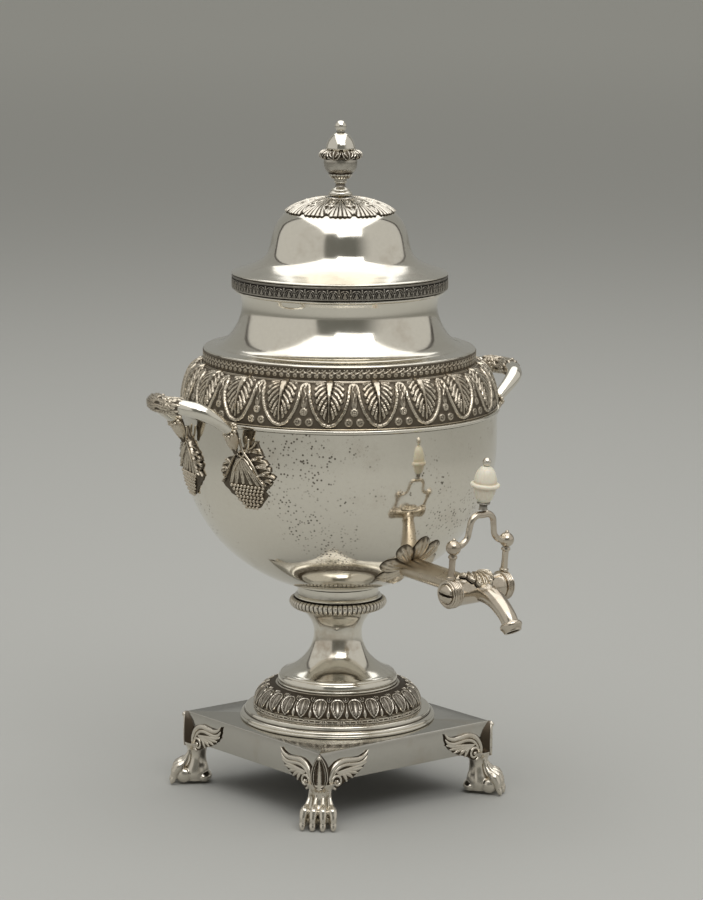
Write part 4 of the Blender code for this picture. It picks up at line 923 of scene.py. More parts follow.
@dataclass(frozen=True)
class Paper:
    """Matt grey paper with faint fibres, with painted light: its colour grows a little lighter far from the
    urn.
    """

    name: str
    near: tuple[float, float, float] = (0.455, 0.455, 0.435)
    far: tuple[float, float, float] = (0.55, 0.55, 0.52)
    low: float = 3.0
    high: float = 9.0

    def material(self) -> bpy.types.Material:
        """Makes the material.

        Returns:
            The finished material.
        """
        s = Shader(self.name)
        place = s.node("TexCoord").outputs["Object"]
        away = s.node("VectorMath", {0: place}, operation="LENGTH").outputs["Value"]
        fibre = s.noise(place, 300, 4)
        # Painted light: the paper's colour goes from the near tone to the lighter far tone between low and
        # high metres from the urn.
        colour = s.mix(s.span(away, self.low, self.high), self.near, self.far)
        colour = s.mix(s.span(fibre, 0.2, 0.8, 0.0, 0.06), colour, tuple(0.8 * c for c in self.near))
        bump = s.node("Bump", {"Height": fibre, "Strength": 0.05, "Distance": 0.0005}).outputs[0]
        sockets = {"Base Color": colour, "Roughness": 0.9, "Specular IOR Level": 0.1, "Normal": bump}
        return s.finished(sockets)


@dataclass(frozen=True)
class Room:
    """Light grey tent round the urn: dim where the camera stands and behind, with a dark seam on either side.

    The edges are angles from the camera's side, in radians, at which a change starts and ends; the top
    edge is a height on the unit sphere.
    """

    name: str
    azimuth: float
    wall: tuple[float, float, float] = (0.56, 0.55, 0.52)
    gap: tuple[float, float, float] = (0.15, 0.15, 0.135)
    seam: tuple[float, float, float] = (0.06, 0.055, 0.05)
    back: tuple[float, float, float] = (0.30, 0.30, 0.28)
    front_edge: tuple[float, float] = (0.50, 0.44)
    right_start: tuple[float, float] = (-0.1, 0.1)
    right_end: tuple[float, float] = (1.0, 0.4)
    top_edge: tuple[float, float] = (0.62, 0.54)
    back_edge: tuple[float, float] = (2.30, 2.36)
    seam_start: tuple[float, float] = (2.20, 2.24)
    seam_end: tuple[float, float] = (2.34, 2.30)

    def world(self) -> bpy.types.World:
        """Makes the world.

        Returns:
            The finished world.
        """
        s = Shader(self.name, bpy.data.worlds.new(self.name))
        place = s.node("TexCoord").outputs["Generated"]
        turned = {"Rotation": (0.0, 0.0, math.radians(self.azimuth)), "Vector": place}
        way = s.node("SeparateXYZ", {0: s.node("Mapping", turned, vector_type="POINT").outputs[0]}).outputs
        side = s.math("ARCTAN2", way["X"], s.math("MULTIPLY", way["Y"], -1.0))
        wide = s.math("ABSOLUTE", side)
        front = s.span(wide, *self.front_edge)
        right = s.math("MULTIPLY", s.span(side, *self.right_end), s.span(side, *self.right_start))
        dim = s.math("MAXIMUM", front, right)
        dim = s.math("MULTIPLY", dim, s.span(way["Z"], *self.top_edge))
        colour = s.mix(dim, self.wall, self.gap)
        colour = s.mix(s.span(wide, *self.back_edge), colour, self.back)
        seam = s.math("MULTIPLY", s.span(wide, *self.seam_start), s.span(wide, *self.seam_end))
        colour = s.mix(seam, colour, self.seam)
        light = s.node("Background", {0: colour, 1: 1.0})
        s.tree.links.new(light.outputs[0], s.node("OutputWorld").inputs[0])
        return s.owner


class Bench:
    """Keeps the finishes and the urn's place, and turns forms into dressed pieces."""

    def __init__(self) -> None:
        """Finds the urn's axis in the frame and makes the finishes."""
        low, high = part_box("plinth")
        self.shift = (low[1] + high[1]) / 2
        finishes = [
            Silver("polished_silver"),
            Silver("bowl_silver", pitted=0.9, stained=0.2, roughness=0.06),
            Silver("stained_silver", stained=0.75, roughness=0.1),
            Silver("tap_silver", tone=(0.66, 0.59, 0.49), stain=(0.30, 0.22, 0.15), stained=0.85,
                   roughness=0.15),
            Silver("plinth_silver", tone=(0.56, 0.54, 0.49), stained=0.35, roughness=0.13),
            Silver("chased_silver", tone=(0.74, 0.69, 0.60), tarnish_and_shade_colour=(0.085, 0.067, 0.048), roughness=0.2,
                   stained=0.4),
            Silver("dark_chased_silver", tone=(0.66, 0.59, 0.48), tarnish_and_shade_colour=(0.10, 0.08, 0.057),
                   roughness=0.22, stained=0.5, darkened=0.9),
            Silver("black_chased_silver", tone=(0.44, 0.41, 0.36), tarnish_and_shade_colour=(0.045, 0.04, 0.034),
                   roughness=0.28),
            Silver("brown_silver", tone=(0.60, 0.52, 0.41), roughness=0.24, stained=0.8),
            Ivory("old_ivory"),
            Metal("cast_iron", (0.10, 0.095, 0.09), (0.035, 0.03, 0.028), 0.55, 0.5),
            Metal("turned_brass", (0.66, 0.49, 0.22), (0.40, 0.28, 0.12), 0.28, 0.15),
        ]
        self.finishes = {finish.name: finish.material() for finish in finishes}

    def dress(
        self,
        form: Form,
        name: str,
        nodes: Sequence[str],
        body: Body = Body.URN,
        finish: str = "polished_silver",
        slot: str = "silver",
        crease: float = 40.0,
    ) -> bpy.types.Object:
        """Makes one piece and sets it on its body.

        Args:
            form: its shape.
            name: its name.
            nodes: solids of the frame that it stands for.
            body: body that it rides on.
            finish: name of its finish.
            slot: the record's slot for it; not used.
            crease: angle above which an edge stays sharp, in degrees.

        Returns:
            The piece.
        """
        mesh = form.mesh(name, self.shift)
        mesh.shade_smooth()
        mesh.set_sharp_from_angle(angle=math.radians(crease))
        mesh.materials.append(self.finishes[finish])
        piece = bpy.data.objects.new(name, mesh)
        bpy.context.collection.objects.link(piece)
        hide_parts(*nodes)
        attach(piece, body.value)
        LOG.info("%s: %d faces", name, len(mesh.polygons))
        return piece

    def repaint(self, node: str, finish: str) -> None:
        """Gives a solid of the frame its finish.

        Args:
            node: name of the solid.
            finish: name of its finish.
        """
        item = frame["nodes"][node]
        item.data.materials.clear()
        item.data.materials.append(self.finishes[finish])
        LOG.info("%s: kept, %s", node, finish)


@dataclass
class Assembly(ABC):
    """Pieces that are made together on one bench."""

    bench: Bench

    @abstractmethod
    def build(self) -> None:
        """Makes all of its pieces."""


@dataclass
class Plinth(Assembly):
    """Square tray turned upside down, with a round hole under the pedestal."""

    half: float = 71.4
    low: float = 28.6
    high: float = 48.8
    wall: float = 2.4
    hole: float = 30.0
    corner: float = 0.7

    def ring(self, half: float, height: float, hole: bool = False) -> Array:
        """Closed row of points: a square with small round corners, or the round hole.

        Args:
            half: half the square's width.
            height: height of the row.
            hole: whether it is the hole, with as many points.

        Returns:
            The points.
        """
        rows = []
        for k in range(4):
            middle = math.pi / 4 + k * math.pi / 2
            centre = toward(middle) * (half - self.corner) * math.sqrt(2)
            for step in range(7):
                rows.append(centre + toward(middle - math.pi / 4 + step * math.pi / 12) * self.corner)
            there = toward(middle + math.pi / 2) * (half - self.corner) * math.sqrt(2)
            start = rows[-1]
            end = there + toward(middle + math.pi / 4) * self.corner
            rows += [start + (end - start) * t for t in np.linspace(0, 1, 14)[1:-1]]
        flat = np.array(rows)
        if hole:
            flat = flat / np.linalg.norm(flat, axis=1, keepdims=True) * self.hole
        return np.column_stack([flat, np.full(len(flat), height)])

    def build(self) -> None:
        """Makes the plinth."""
        inner = self.half - self.wall
        rows = [
            self.ring(self.half - 0.45, self.low),
            self.ring(self.half - 0.1, self.low + 0.15),
            self.ring(self.half, self.low + 0.5),
            self.ring(self.half, self.high - 0.6),
            self.ring(self.half - 0.15, self.high - 0.18),
            self.ring(self.half - 0.6, self.high),
            self.ring(self.half, self.high, hole=True),
            self.ring(self.half, self.high - self.wall, hole=True),
            self.ring(inner, self.high - self.wall),
            self.ring(inner, self.low),
        ]
        depth = np.zeros(len(rows))
        # Painted shade: the lower outer edge is made half dark, and the underside round the hole and the
        # hollow inside are made dark.
        depth[[0, 7, 8, 9]] = 0.5, 0.8, 0.9, 0.8
        form = Form().net(np.array(rows), depth[:, None], joined=True)
        self.bench.dress(form, "square_plinth", ["plinth"], finish="plinth_silver", crease=30)


@dataclass
class Pedestal(Assembly):
    """Step, lotus ring, fillet, stem, gadroon ring and collar under the bowl."""

    tongues: int = 28
    ovals: int = 30
    gadroons: int = 60
    stem_wall: float = 1.2
    oval_radius: float = 55.6
    tongue_radius: float = 54.5

    def build(self) -> None:
        """Makes the pedestal from the plinth up."""
        self.step()
        self.lotus()
        self.stem()
        self.gadroon()

    def step(self) -> None:
        """Makes the moulded step."""
        outline = run(
            smooth([(63.6, 49.1), (64.5, 49.4), (64.8, 50.2), (64.5, 51.0), (63.9, 51.3)], 5),
            smooth([(63.9, 51.4), (64.1, 51.9), (63.8, 52.6), (62.9, 53.2), (61.9, 53.4)], 5),
            smooth([(61.6, 53.5), (61.5, 54.4), (61.4, 55.5), (61.0, 56.1), (60.4, 56.3)], 4),
        )
        self.bench.dress(Form().turn(outline, 192, bore=50.0), "moulded_step", ["base_step"])

    def lotus(self) -> None:
        """Makes the ring of lotus tongues over its band of ovals, and the fillet on it."""
        form = Form()
        width = FULL_TURN * self.oval_radius / self.ovals
        u, v = cell(width, 2.6, 26, 12)
        band = Chasing(u, v, width, mirror=True)
        for height in (0.12, 2.48):
            band.mark([(-9, height), (9, height)], 0.22, 0.45, bend=1)
        band.mark([(-3.0, 1.3), (3.0, 1.3)], 1.05, 0.5, Rise.HOLLOW, bend=1)
        band.mark([(0, 1.3)], 0.75, 0.5)
        band.mark([(width / 2, 0.4), (width / 2, 2.2)], 0.7, 0.55, bend=1)
        band.mark([(width / 2 - 1.1, 0.5), (width / 2 - 1.5, 1.3), (width / 2 - 1.1, 2.1)], 0.28, 0.5)
        outline = even(np.array([(55.5, 56.6), (55.5, 59.2)]), 12)
        form.turn(outline, bore=52.0, relief=band.height, repeats=self.ovals)
        outline = even(
            smooth([(54.3, 59.3), (55.0, 60.6), (54.9, 62.4), (54.0, 64.8), (52.2, 67.4), (49.2, 69.9),
                    (45.0, 71.7), (39.6, 72.5)], 8), 46)
        length = length_of(outline)
        width = FULL_TURN * self.tongue_radius / self.tongues
        u, v = cell(width, length, 34, 46)
        chased = Chasing(u, v, width, mirror=True)
        rim = [(0, 0.9), (2.0, 3.0), (3.7, 6.4), (4.35, 10.0), (3.7, 13.0), (2.0, 14.6), (0, 15.0)]
        for share in (0.82, 0.64, 0.46, 0.28, 0.1):
            inner = [(x * share, 8.6 + (y - 8.6) * (0.35 + 0.65 * share)) for x, y in rim]
            chased.mark(inner, 1.0, 0.8, Rise.FLAT)
        for k in range(-4, 5):
            low = 3.0 + 0.34 * k * k
            line = [(k * 0.8, low), (k * 0.8, 13.9 - 0.14 * k * k)]
            chased.mark(line, 0.16, 0.22, Rise.WEDGE, Way.SINK, 1)
        chased.mark(rim, [0.35, 0.42, 0.45, 0.48, 0.48, 0.48, 0.48], 1.35)
        top = width / 2
        for reach in (0.0, 1.6):
            line = [(top - 1.9 + reach, 16.9), (top - 1.75 + reach, 14.6 + reach),
                    (top, 12.9 + reach * 1.3)]
            chased.mark(line, 0.34, 1.1)
        chased.mark([(top, 12.0), (top, 7.2), (top, 2.2)], [0.25, 0.3, 0.25], 0.7)
        chased.mark([(top, 6.6), (top, 3.4), (top, 0.8)], [0.3, 1.15, 0.4], 1.0)
        chased.mark([(top, 5.6), (top, 1.6)], 0.16, 0.5, Rise.WEDGE, Way.SINK, 1)
        chased.mark([(-9, length - 0.8), (9, length - 0.8)], 0.9, 0.9, Rise.FLAT, bend=1)
        chased.mark([(-9, 0.2), (9, 0.2)], 0.4, 0.7, Rise.ROUND, bend=1)
        relief = chased.height * 0.75
        back = np.array([(37.4, 72.5), (37.2, 70.5), (50.0, 61.5), (52.0, 59.3)])
        form.turn(outline, back=back, relief=relief - relief.max() * 0.55, repeats=self.tongues)
        self.bench.dress(form, "lotus_ring_chased", ["lotus_ring"], finish="chased_silver")
        plain = run(
            smooth([(39.5, 72.7), (39.8, 73.2), (39.6, 73.9), (39.0, 74.3)], 4),
            smooth([(39.0, 74.4), (39.5, 75.2), (39.4, 76.6), (38.9, 77.9), (38.2, 78.6)], 4),
        )
        form = Form().turn(plain, bore=36.6)
        self.bench.dress(form, "pedestal_fillet_turned", ["pedestal_fillet"], finish="stained_silver")

    def stem(self) -> None:
        """Makes the waisted stem and the collar over it."""
        outline = smooth(
            [(38.3, 78.8), (37.7, 79.6), (34.6, 81.0), (28.6, 84.3), (23.4, 88.7), (20.0, 92.8),
             (17.8, 97.0), (16.4, 101.4), (15.9, 105.6), (16.2, 110.0), (17.4, 113.6), (19.2, 116.6),
             (21.4, 119.6), (23.2, 122.9)], 8)
        back = inset(outline[::6], self.stem_wall)
        form = Form().turn(outline, back=back)
        self.bench.dress(form, "waisted_stem", ["pedestal_stem"], finish="stained_silver")
        bead = smooth([(28.6, 130.5), (28.9, 131.2), (28.0, 132.2), (26.9, 132.7)], 4)
        form = Form().turn(run(bead, [(26.8, 133.2), (26.8, 138.0)]),
                           back=np.array([(24.4, 137.4), (24.4, 130.5)]))
        self.bench.dress(form, "bowl_seat", ["bowl_collar"])

    def gadroon(self) -> None:
        """Makes the gadrooned ring."""
        outline = even(smooth([(25.0, 122.9), (28.0, 123.5), (30.6, 125.0), (31.6, 127.2), (30.6, 129.2),
                               (28.4, 130.2)], 6), 24)
        u, v = cell(1.0, 1.0, 12, 24)
        lobes = np.sqrt(np.maximum(1 - (1.95 * u) ** 2, 0)) * np.clip(np.minimum(v * 14, (1 - v) * 5), 0, 1)
        form = Form().turn(outline, bore=20.5, relief=1.1 * lobes - 0.4, repeats=self.gadroons)
        self.bench.dress(form, "gadroon_ring_chased", ["gadroon_ring"], finish="chased_silver")


@dataclass
class Vessel(Assembly):
    """Bowl, wire, acanthus shoulder, fret band, waisted neck and its rim."""

    radius: float = 103.7
    depth: float = 100.0
    middle: float = 235.0
    rim: float = 255.5
    wall: float = 1.5
    cells: int = 20
    frets: int = 120
    cell_width: float = 32.4
    leaf_turn: float = -6.3
    fret_radius: float = 88.9

    def build(self) -> None:
        """Makes the vessel from the bowl up."""
        angle = np.linspace(0.004, math.pi / 2, 80)
        outer = np.column_stack([self.radius * np.sin(angle), self.middle - self.depth * np.cos(angle)])
        outer = np.vstack([outer, [(self.radius, self.middle + 10), (self.radius, self.rim)]])
        angle = np.linspace(math.pi / 2, 0.004, 24)
        hollow = (self.radius - self.wall, self.depth - self.wall)
        inner = np.column_stack([hollow[0] * np.sin(angle), self.middle - hollow[1] * np.cos(angle)])
        inner = np.vstack([[(hollow[0], self.rim)], inner])
        form = Form().turn(np.vstack([outer, inner]), 192, dark=0.0)
        self.bench.dress(form, "round_bowl", ["bowl_shell"], finish="bowl_silver")
        wire = smooth([(103.8, 255.8), (105.0, 256.2), (105.3, 257.1), (105.0, 258.1), (103.8, 258.5)], 4)
        form = Form().turn(wire, 128, bore=101.5)
        self.bench.dress(form, "shoulder_wire", ["frieze_wire"])
        self.shoulder()
        self.fret()
        self.neck()

    def shoulder(self) -> None:
        """Makes the acanthus frieze over the shoulder."""
        outline = even(
            smooth([(103.3, 258.8), (103.1, 264.0), (102.3, 270.0), (100.7, 276.0), (97.2, 283.0),
                    (93.6, 286.2), (88.5, 287.2)],
                   10), 66)
        length = length_of(outline)
        width = self.cell_width
        u, v = cell(width, length, 62, 66)
        relief = self.acanthus(u, v, width, length)
        back = inset(outline[::9], 2.2)
        form = Form().turn(outline, back=back, relief=relief - 0.35, repeats=self.cells, phase=self.phase())
        self.bench.dress(form, "acanthus_shoulder", ["acanthus_frieze"], finish="dark_chased_silver",
                         slot="tarnished_silver")

    def phase(self) -> float:
        """Angle of the middle of one leaf, as it stands in the photograph."""
        return math.radians(-90.0) + math.radians(self.leaf_turn)

    def acanthus(self, u: Array, v: Array, width: float, length: float) -> Array:
        """Height of one acanthus leaf between its arches.

        Args:
            u: places across, 0 in the middle of the leaf.
            v: places along, from the bottom up.
            width: width of the repeat.
            length: length of the outline.

        Returns:
            The heights.
        """
        c = Chasing(u, v, width, mirror=True)
        half = width / 2
        ribbon = [(0, 2.2), (3.9, 3.5), (6.8, 6.4), (9.3, 10.6), (11.4, 15.6), (12.6, 20.5), (13.1, 25.0),
                  (14.1, 28.6), (half, 30.0)]
        c.mark([(half, 28.0), (half, 22.0), (half, 15.0)], [2.6, 2.8, 2.2], 0.5, Rise.FLAT)
        c.mark([(0, 31), (0, 24), (0, 16), (0, 8)], [9.5, 9.5, 7.5, 3.5], 0.22, Rise.FLAT)
        c.mirror = False
        c.mark([(half, 28.4), (half - 0.9, 25.4), (half + 0.7, 21.8), (half - 0.7, 18.4),
                (half + 0.1, 15.4)],
               [0.8, 0.65, 0.6, 0.5, 0.3], 1.1)
        c.mark([(half + 1.3, 27.4), (half + 1.9, 22.8), (half + 1.2, 18.2)], 0.28, 0.85)
        c.mirror = True
        for x, y in ((half, 10.9), (half - 3.65, 4.5)):
            c.mark([(x, y)], 2.75, 1.0, Rise.FLAT).mark([(x, y)], 2.15, 0.42, Rise.FLAT, Way.SINK)
            for k in range(9):
                a = FULL_TURN * k / 9
                ray = [(x + far * math.cos(a), y + far * math.sin(a)) for far in (0.9, 1.8)]
                c.mark(ray, 0.24, 0.86, bend=1)
            c.mark([(x, y)], 0.62, 1.1)
        lobes = [
            [(3.6, 32.4), (9.0, 29.8)],
            [(3.3, 30.6), (9.4, 25.6)],
            [(2.8, 27.8), (9.1, 21.4)],
            [(2.3, 24.6), (8.2, 17.2)],
            [(1.8, 21.2), (6.7, 13.2)],
            [(1.3, 17.6), (4.8, 10.0)],
            [(0.9, 14.0), (2.9, 7.6)],
        ]
        for (x0, v0), (x1, v1) in lobes:
            bend = (x0 + (x1 - x0) * 0.5, v0 + (v1 - v0) * 0.36)
            c.mark([(x0, v0), bend, (x1, v1)], [0.6, 1.15, 0.9], 1.2)
            c.mark([bend, (x1 + 0.55, v1 + 0.35)], [0.6, 0.55], 1.32, bend=1)
            c.mark([bend, (x1 - 0.35, v1 - 0.75)], [0.6, 0.55], 1.32, bend=1)
            c.mark([(x0, v0), bend, (x1, v1)], 0.2, 0.5, Rise.WEDGE, Way.SINK)
        c.mark([(0.0, 9.5), (0.0, 5.4)], [0.9, 0.8], 1.25, bend=1)
        c.mark([(0, 33), (0, 27), (0, 20), (0, 8.5)], [3.1, 2.1, 0.9, 0.42], 1.75, Rise.FLAT)
        c.mark([(3.5, 32.6), (2.5, 26.8), (1.25, 20), (0.8, 12)], 0.24, 0.6, Rise.WEDGE, Way.SINK)
        c.mark(ribbon, 1.2, 1.6)
        c.mark(ribbon, 0.3, 0.45, Rise.WEDGE, Way.SINK)
        c.mark([(-99, 0.4), (99, 0.4)], 0.5, 1.0, Rise.ROUND, bend=1)
        for place in (0.5, 1.9):
            c.mark([(-99, length - place), (99, length - place)], 0.5, 0.9, Rise.ROUND, bend=1)
        return c.height

    def fret(self) -> None:
        """Makes the band of small braided wedges and rings."""
        outline = run(
            even(np.array([(88.8, 287.6), (89.3, 288.0), (89.3, 288.9)]), 4),
            even(np.array([(88.9, 289.0), (88.9, 295.0)]), 18),
            [(89.3, 295.1), (89.4, 295.6), (88.9, 296.0)],
        )
        width = FULL_TURN * self.fret_radius / self.frets
        u, v = cell(width, 1.0, 10, len(outline))
        v = np.repeat(outline[:, 1:] - 289.0, 10, axis=1)
        c = Chasing(u, v, width)
        c.mark([(0, 1.5)], 1.5, 0.5, Rise.HOLLOW).mark([(0.1, 1.5)], 0.5, 0.42)
        c.mark([(-9, 3.15), (9, 3.15)], 0.2, 0.5, bend=1)
        c.mark([(-1.8, 3.5), (-0.2, 4.3), (1.3, 5.8)], [0.3, 0.55, 0.3], 0.5)
        c.mark([(2.4, 3.5), (1.2, 4.3), (0.9, 4.8)], [0.3, 0.5, 0.3], 0.42)
        c.mark([(-0.9, 5.7)], 0.6, 0.4)
        keep = ((v > 0) & (v < 6.05)).astype(float)
        form = Form().turn(outline, bore=86.4, relief=c.height * keep, repeats=self.frets)
        self.bench.dress(form, "fret_band_chased", ["fret_band"], finish="dark_chased_silver",
                         slot="tarnished_silver")

    def neck(self) -> None:
        """Makes the neck and its rounded rim."""
        outline = run(
            smooth([(89.0, 296.3), (88.6, 296.9), (86.0, 297.3), (82.6, 297.7), (80.4, 298.3)], 5),
            smooth([(80.2, 298.6), (77.4, 299.8), (74.4, 302.0), (71.6, 304.9), (69.1, 308.3),
                    (66.9, 312.2), (65.2, 316.6), (64.1, 321.2), (63.9, 325.6), (64.6, 329.6),
                    (66.0, 333.0)], 8),
        )
        form = Form().turn(outline, 192, back=inset(outline[::5], 1.5), dark=0.8)
        self.bench.dress(form, "waisted_neck", ["neck_shell"])
        rim = smooth([(66.6, 333.3), (68.3, 333.6), (68.8, 334.5), (68.3, 335.4), (66.6, 335.7)], 4)
        form = Form().turn(rim, 128, bore=62.4)
        self.bench.dress(form, "neck_rim_turned", ["neck_rim"])


@dataclass
class Lid(Assembly):
    """Rim band, bezel, dome, leaf calyx and finial."""

    arches: int = 60
    leaves: int = 12
    calyx_start: float = 7.9
    calyx_end: float = 34.9
    calyx_gauge: float = 25.0
    calyx_turn: float = -128.66
    collar_turn: float = -104.0
    collar_leaves: int = 8
    collar_radius: float = 13.0
    band_radius: float = 70.2
    stud: float = 1.9
    edge: Path = ((70.2, 345.3), (70.7, 345.6), (70.6, 346.0), (70.0, 346.3))
    dome: Path = (
        (69.6, 346.5), (67.0, 347.3), (63.4, 348.5), (59.2, 350.0), (55.4, 351.7), (52.2, 353.5),
        (49.6, 355.6), (47.7, 358.0), (46.4, 360.8), (45.4, 364.2), (44.6, 368.2), (43.6, 372.6),
        (42.2, 376.5), (40.1, 380.4), (37.3, 383.6), (33.6, 386.4), (28.6, 389.2), (20.5, 391.9),
        (9.0, 393.8), (2.4, 394.15),
    )

    def build(self) -> None:
        """Makes the lid and all that rides on it."""
        self.band()
        bezel = run([(60.6, 324.0), (61.2, 324.5)], even(np.array([(61.2, 325.0), (61.2, 345.0)]), 6))
        form = Form().turn(bezel, 96, bore=60.0)
        self.bench.dress(form, "lid_bezel_turned", ["lid_bezel"], Body.LID)
        outline = run(smooth(self.edge, 3), smooth(self.dome, 5))
        form = Form().turn(outline, 192, back=inset(outline[::6], 1.2), dark=0.8)
        self.bench.dress(form, "lid_dome", ["lid_shell"], Body.LID)
        self.calyx()
        self.finial()

    def band(self) -> None:
        """Makes the chased band at the lid's edge."""
        outline = run(
            even(np.array([(69.9, 336.0), (70.2, 336.3), (70.2, 342.9)]), 20),
            smooth([(69.9, 343.0), (70.5, 343.5), (70.6, 344.1), (70.3, 344.7), (69.8, 345.0)], 3),
        )
        width = FULL_TURN * self.band_radius / self.arches
        u = cell(width, 1.0, 16, len(outline))[0]
        v = np.repeat(outline[:, 1:] - 336.0, 16, axis=1)
        c = Chasing(u, v, width, mirror=True)
        c.mark([(-9, 0.4), (9, 0.4)], 0.3, 0.4, bend=1)
        c.mark([(width / 2, 0.8), (3.1, 3.6), (2.0, 5.6), (0, 6.3)], 0.28, 0.5)
        c.mark([(2.5, 0.8), (2.1, 3.2), (1.3, 4.6), (0, 5.2)], 0.24, 0.42)
        c.mark([(0, 0.8), (0, 2.6), (0, 4.2)], [0.5, 0.95, 0.35], 0.4)
        c.mark([(0, 1.0), (0, 4.2)], 0.16, 0.3, Rise.WEDGE, Way.SINK, 1)
        c.mark([(width / 2, 6.4), (width / 2, 4.4)], [0.6, 0.25], 0.42, bend=1)
        c.mark([(1.5, 0.9), (0.9, 2.4)], 0.2, 0.3, bend=1)
        form = Form().turn(outline, bore=62.5, relief=c.height * (v < 6.9), repeats=self.arches)
        self.bench.dress(form, "lid_edge_band", ["lid_rim_band"], Body.LID, "black_chased_silver")

    def over_dome(self, radius: Array, lift: Array) -> tuple[Array, Array]:
        """Radius and height of places on the dome, lifted off it.

        Args:
            radius: distance of each place from the axis.
            lift: distance off the dome.

        Returns:
            The new radii and heights.
        """
        line = smooth(self.dome, 8)[::-1]
        normal = outward(smooth(self.dome, 8))[::-1]
        height = np.interp(radius, line[:, 0], line[:, 1])
        out = np.interp(radius, line[:, 0], normal[:, 0])
        up = np.interp(radius, line[:, 0], normal[:, 1])
        return radius + out * lift, height + up * lift

    def calyx(self) -> None:
        """Makes the ring of leaves that lies over the crown."""
        width = FULL_TURN * self.calyx_gauge / self.leaves
        cols, rows = 44, 54
        u, t = cell(width, 1.0, cols, rows)
        half = width / 2
        end = self.calyx_end - 2.3 * np.exp(-(((half - np.abs(u[0])) / 0.9) ** 2))
        end += 0.5 * np.abs(np.cos(u[0] * math.pi / 2.2))
        reach = self.calyx_start + t * (end - self.calyx_start)[None]
        c = Chasing(u, reach, width, mirror=True)
        c.mark([(0, 19), (0, 27), (0, 38)], [2.6, 5.0, 6.6], 0.7, Rise.FLAT)
        c.mark([(0, 11), (0, 22), (0, 36)], [0.7, 0.8, 1.0], 1.7)
        for bend, tip, wide in (
            ((1.5, 25), (2.2, 35.2), 0.85),
            ((2.9, 26.5), (4.4, 34.6), 0.85),
            ((3.9, 27.6), (6.1, 32.4), 0.7),
        ):
            c.mark([(0.8, 16.5), bend, tip], [0.35, 0.8 * wide, 1.1 * wide], 1.35)
        c.mark([(1.5, 12), (3.2, 16.5), (4.2, 21.0), (3.6, 24.6)], [0.4, 0.8, 0.9, 0.5], 1.4)
        c.mark([(1.5, 12), (3.2, 16.5), (4.2, 21.0)], 0.22, 0.6, Rise.WEDGE, Way.SINK)
        c.mark([(half, 25.5), (half - 1.8, 24.0), (half - 2.4, 21.0), (half - 1.2, 19.0),
                (half - 0.5, 20.6)],
               [0.5, 0.6, 0.6, 0.5, 0.4], 1.5)
        c.mark([(half, 22.4)], 0.95, 2.0)
        c.mark([(half, 26.0), (half, 30.0), (half, 33.0)], [0.6, 1.5, 0.8], 1.3)
        c.mark([(half, 25.5), (half, 33.0)], 0.2, 0.7, Rise.WEDGE, Way.SINK, 1)
        c.mark([(half - 0.3, 10.5), (half - 1.6, 14.0), (half - 0.9, 17.0), (half, 17.6)],
               [0.5, 0.7, 0.6, 0.5], 1.3)
        c.mark([(-9, 8.4), (9, 8.4)], 0.7, 1.1, bend=1)
        relief = c.height * 0.8 + 0.45
        radius, height = self.over_dome(reach, relief)
        under, sole = self.over_dome(reach, relief * 0 + 0.1)
        radius, height = np.vstack([radius, under[::-8]]), np.vstack([height, sole[::-8]])
        # Painted shade: the under layer of the leaves, against the dome, is made dark.
        depth = np.vstack([recess(relief), recess(relief)[::-8] * 0 + 0.9])
        angle = FULL_TURN * (np.arange(cols * self.leaves) + 0.5) / (cols * self.leaves)
        angle = angle + math.radians(self.calyx_turn) - math.pi / self.leaves
        radius, height, depth = (np.tile(values, (1, self.leaves)) for values in (radius, height, depth))
        points = np.stack([radius * np.cos(angle), radius * np.sin(angle), height], axis=2)
        form = Form().net(points, depth, joined=True)
        self.bench.dress(form, "leaf_calyx", ["lid_leaf_calyx"], Body.LID, "chased_silver",
                         "tarnished_silver")

    def finial(self) -> None:
        """Makes the finial from its foot to its ball."""
        foot = run(
            smooth([(7.0, 396.0), (7.7, 396.6), (7.8, 397.4), (7.4, 398.4), (6.7, 398.9)], 5),
            smooth([(6.1, 399.05), (6.2, 399.7), (5.7, 400.4), (4.2, 401.2), (3.3, 402.2), (3.1, 403.2),
                    (3.5, 404.2)], 4),
            smooth([(4.1, 404.4), (4.4, 404.9), (4.1, 405.4)], 3),
            [(3.8, 405.7), (4.3, 406.0), (4.3, 406.6)],
        )
        form = Form().turn(foot, 96, bore=self.stud)
        self.bench.dress(form, "finial_stem", ["finial_foot"], Body.LID)
        low = even(smooth([(4.6, 406.9), (6.0, 407.9), (7.2, 409.3), (7.7, 410.4)], 5), 16)
        high = smooth([(7.9, 410.7), (9.3, 411.9), (10.3, 413.8), (10.8, 416.2), (10.9, 418.6),
                       (10.7, 419.7)], 5)
        outline = run(low, high)
        u, v = cell(1.0, 1.0, 8, len(low))
        ribs = np.zeros((len(outline), 8))
        rounded = 0.45 * np.sqrt(np.maximum(1 - (1.9 * u) ** 2, 0))
        ribs[: len(low)] = rounded * np.clip(np.minimum(v, 1 - v) * 6, 0, 1)
        form = Form().turn(outline, bore=self.stud, relief=ribs, repeats=18)
        self.bench.dress(form, "finial_cup_turned", ["finial_cup"], Body.LID)
        outline = even(smooth([(10.6, 420.0), (12.4, 420.5), (13.6, 421.8), (13.4, 423.4), (11.6, 424.8),
                               (9.7, 425.4)], 6), 34)
        width = FULL_TURN * self.collar_radius / self.collar_leaves
        u, v = cell(width, length_of(outline), 30, 34)
        c = Chasing(u, v, width, mirror=True)
        c.mark([(0, 0.8), (0, 3.6), (0, 8.2)], [1.4, 4.6, 4.6], 2.0, Rise.FLAT)
        c.mark([(0, 1.0), (2.9, 2.9), (4.3, 5.2), (4.6, 8.2)], [0.5, 0.6, 0.6, 0.6], 2.55)
        c.mark([(0, 1.6), (0, 8.2)], [0.6, 0.9], 2.6, bend=1)
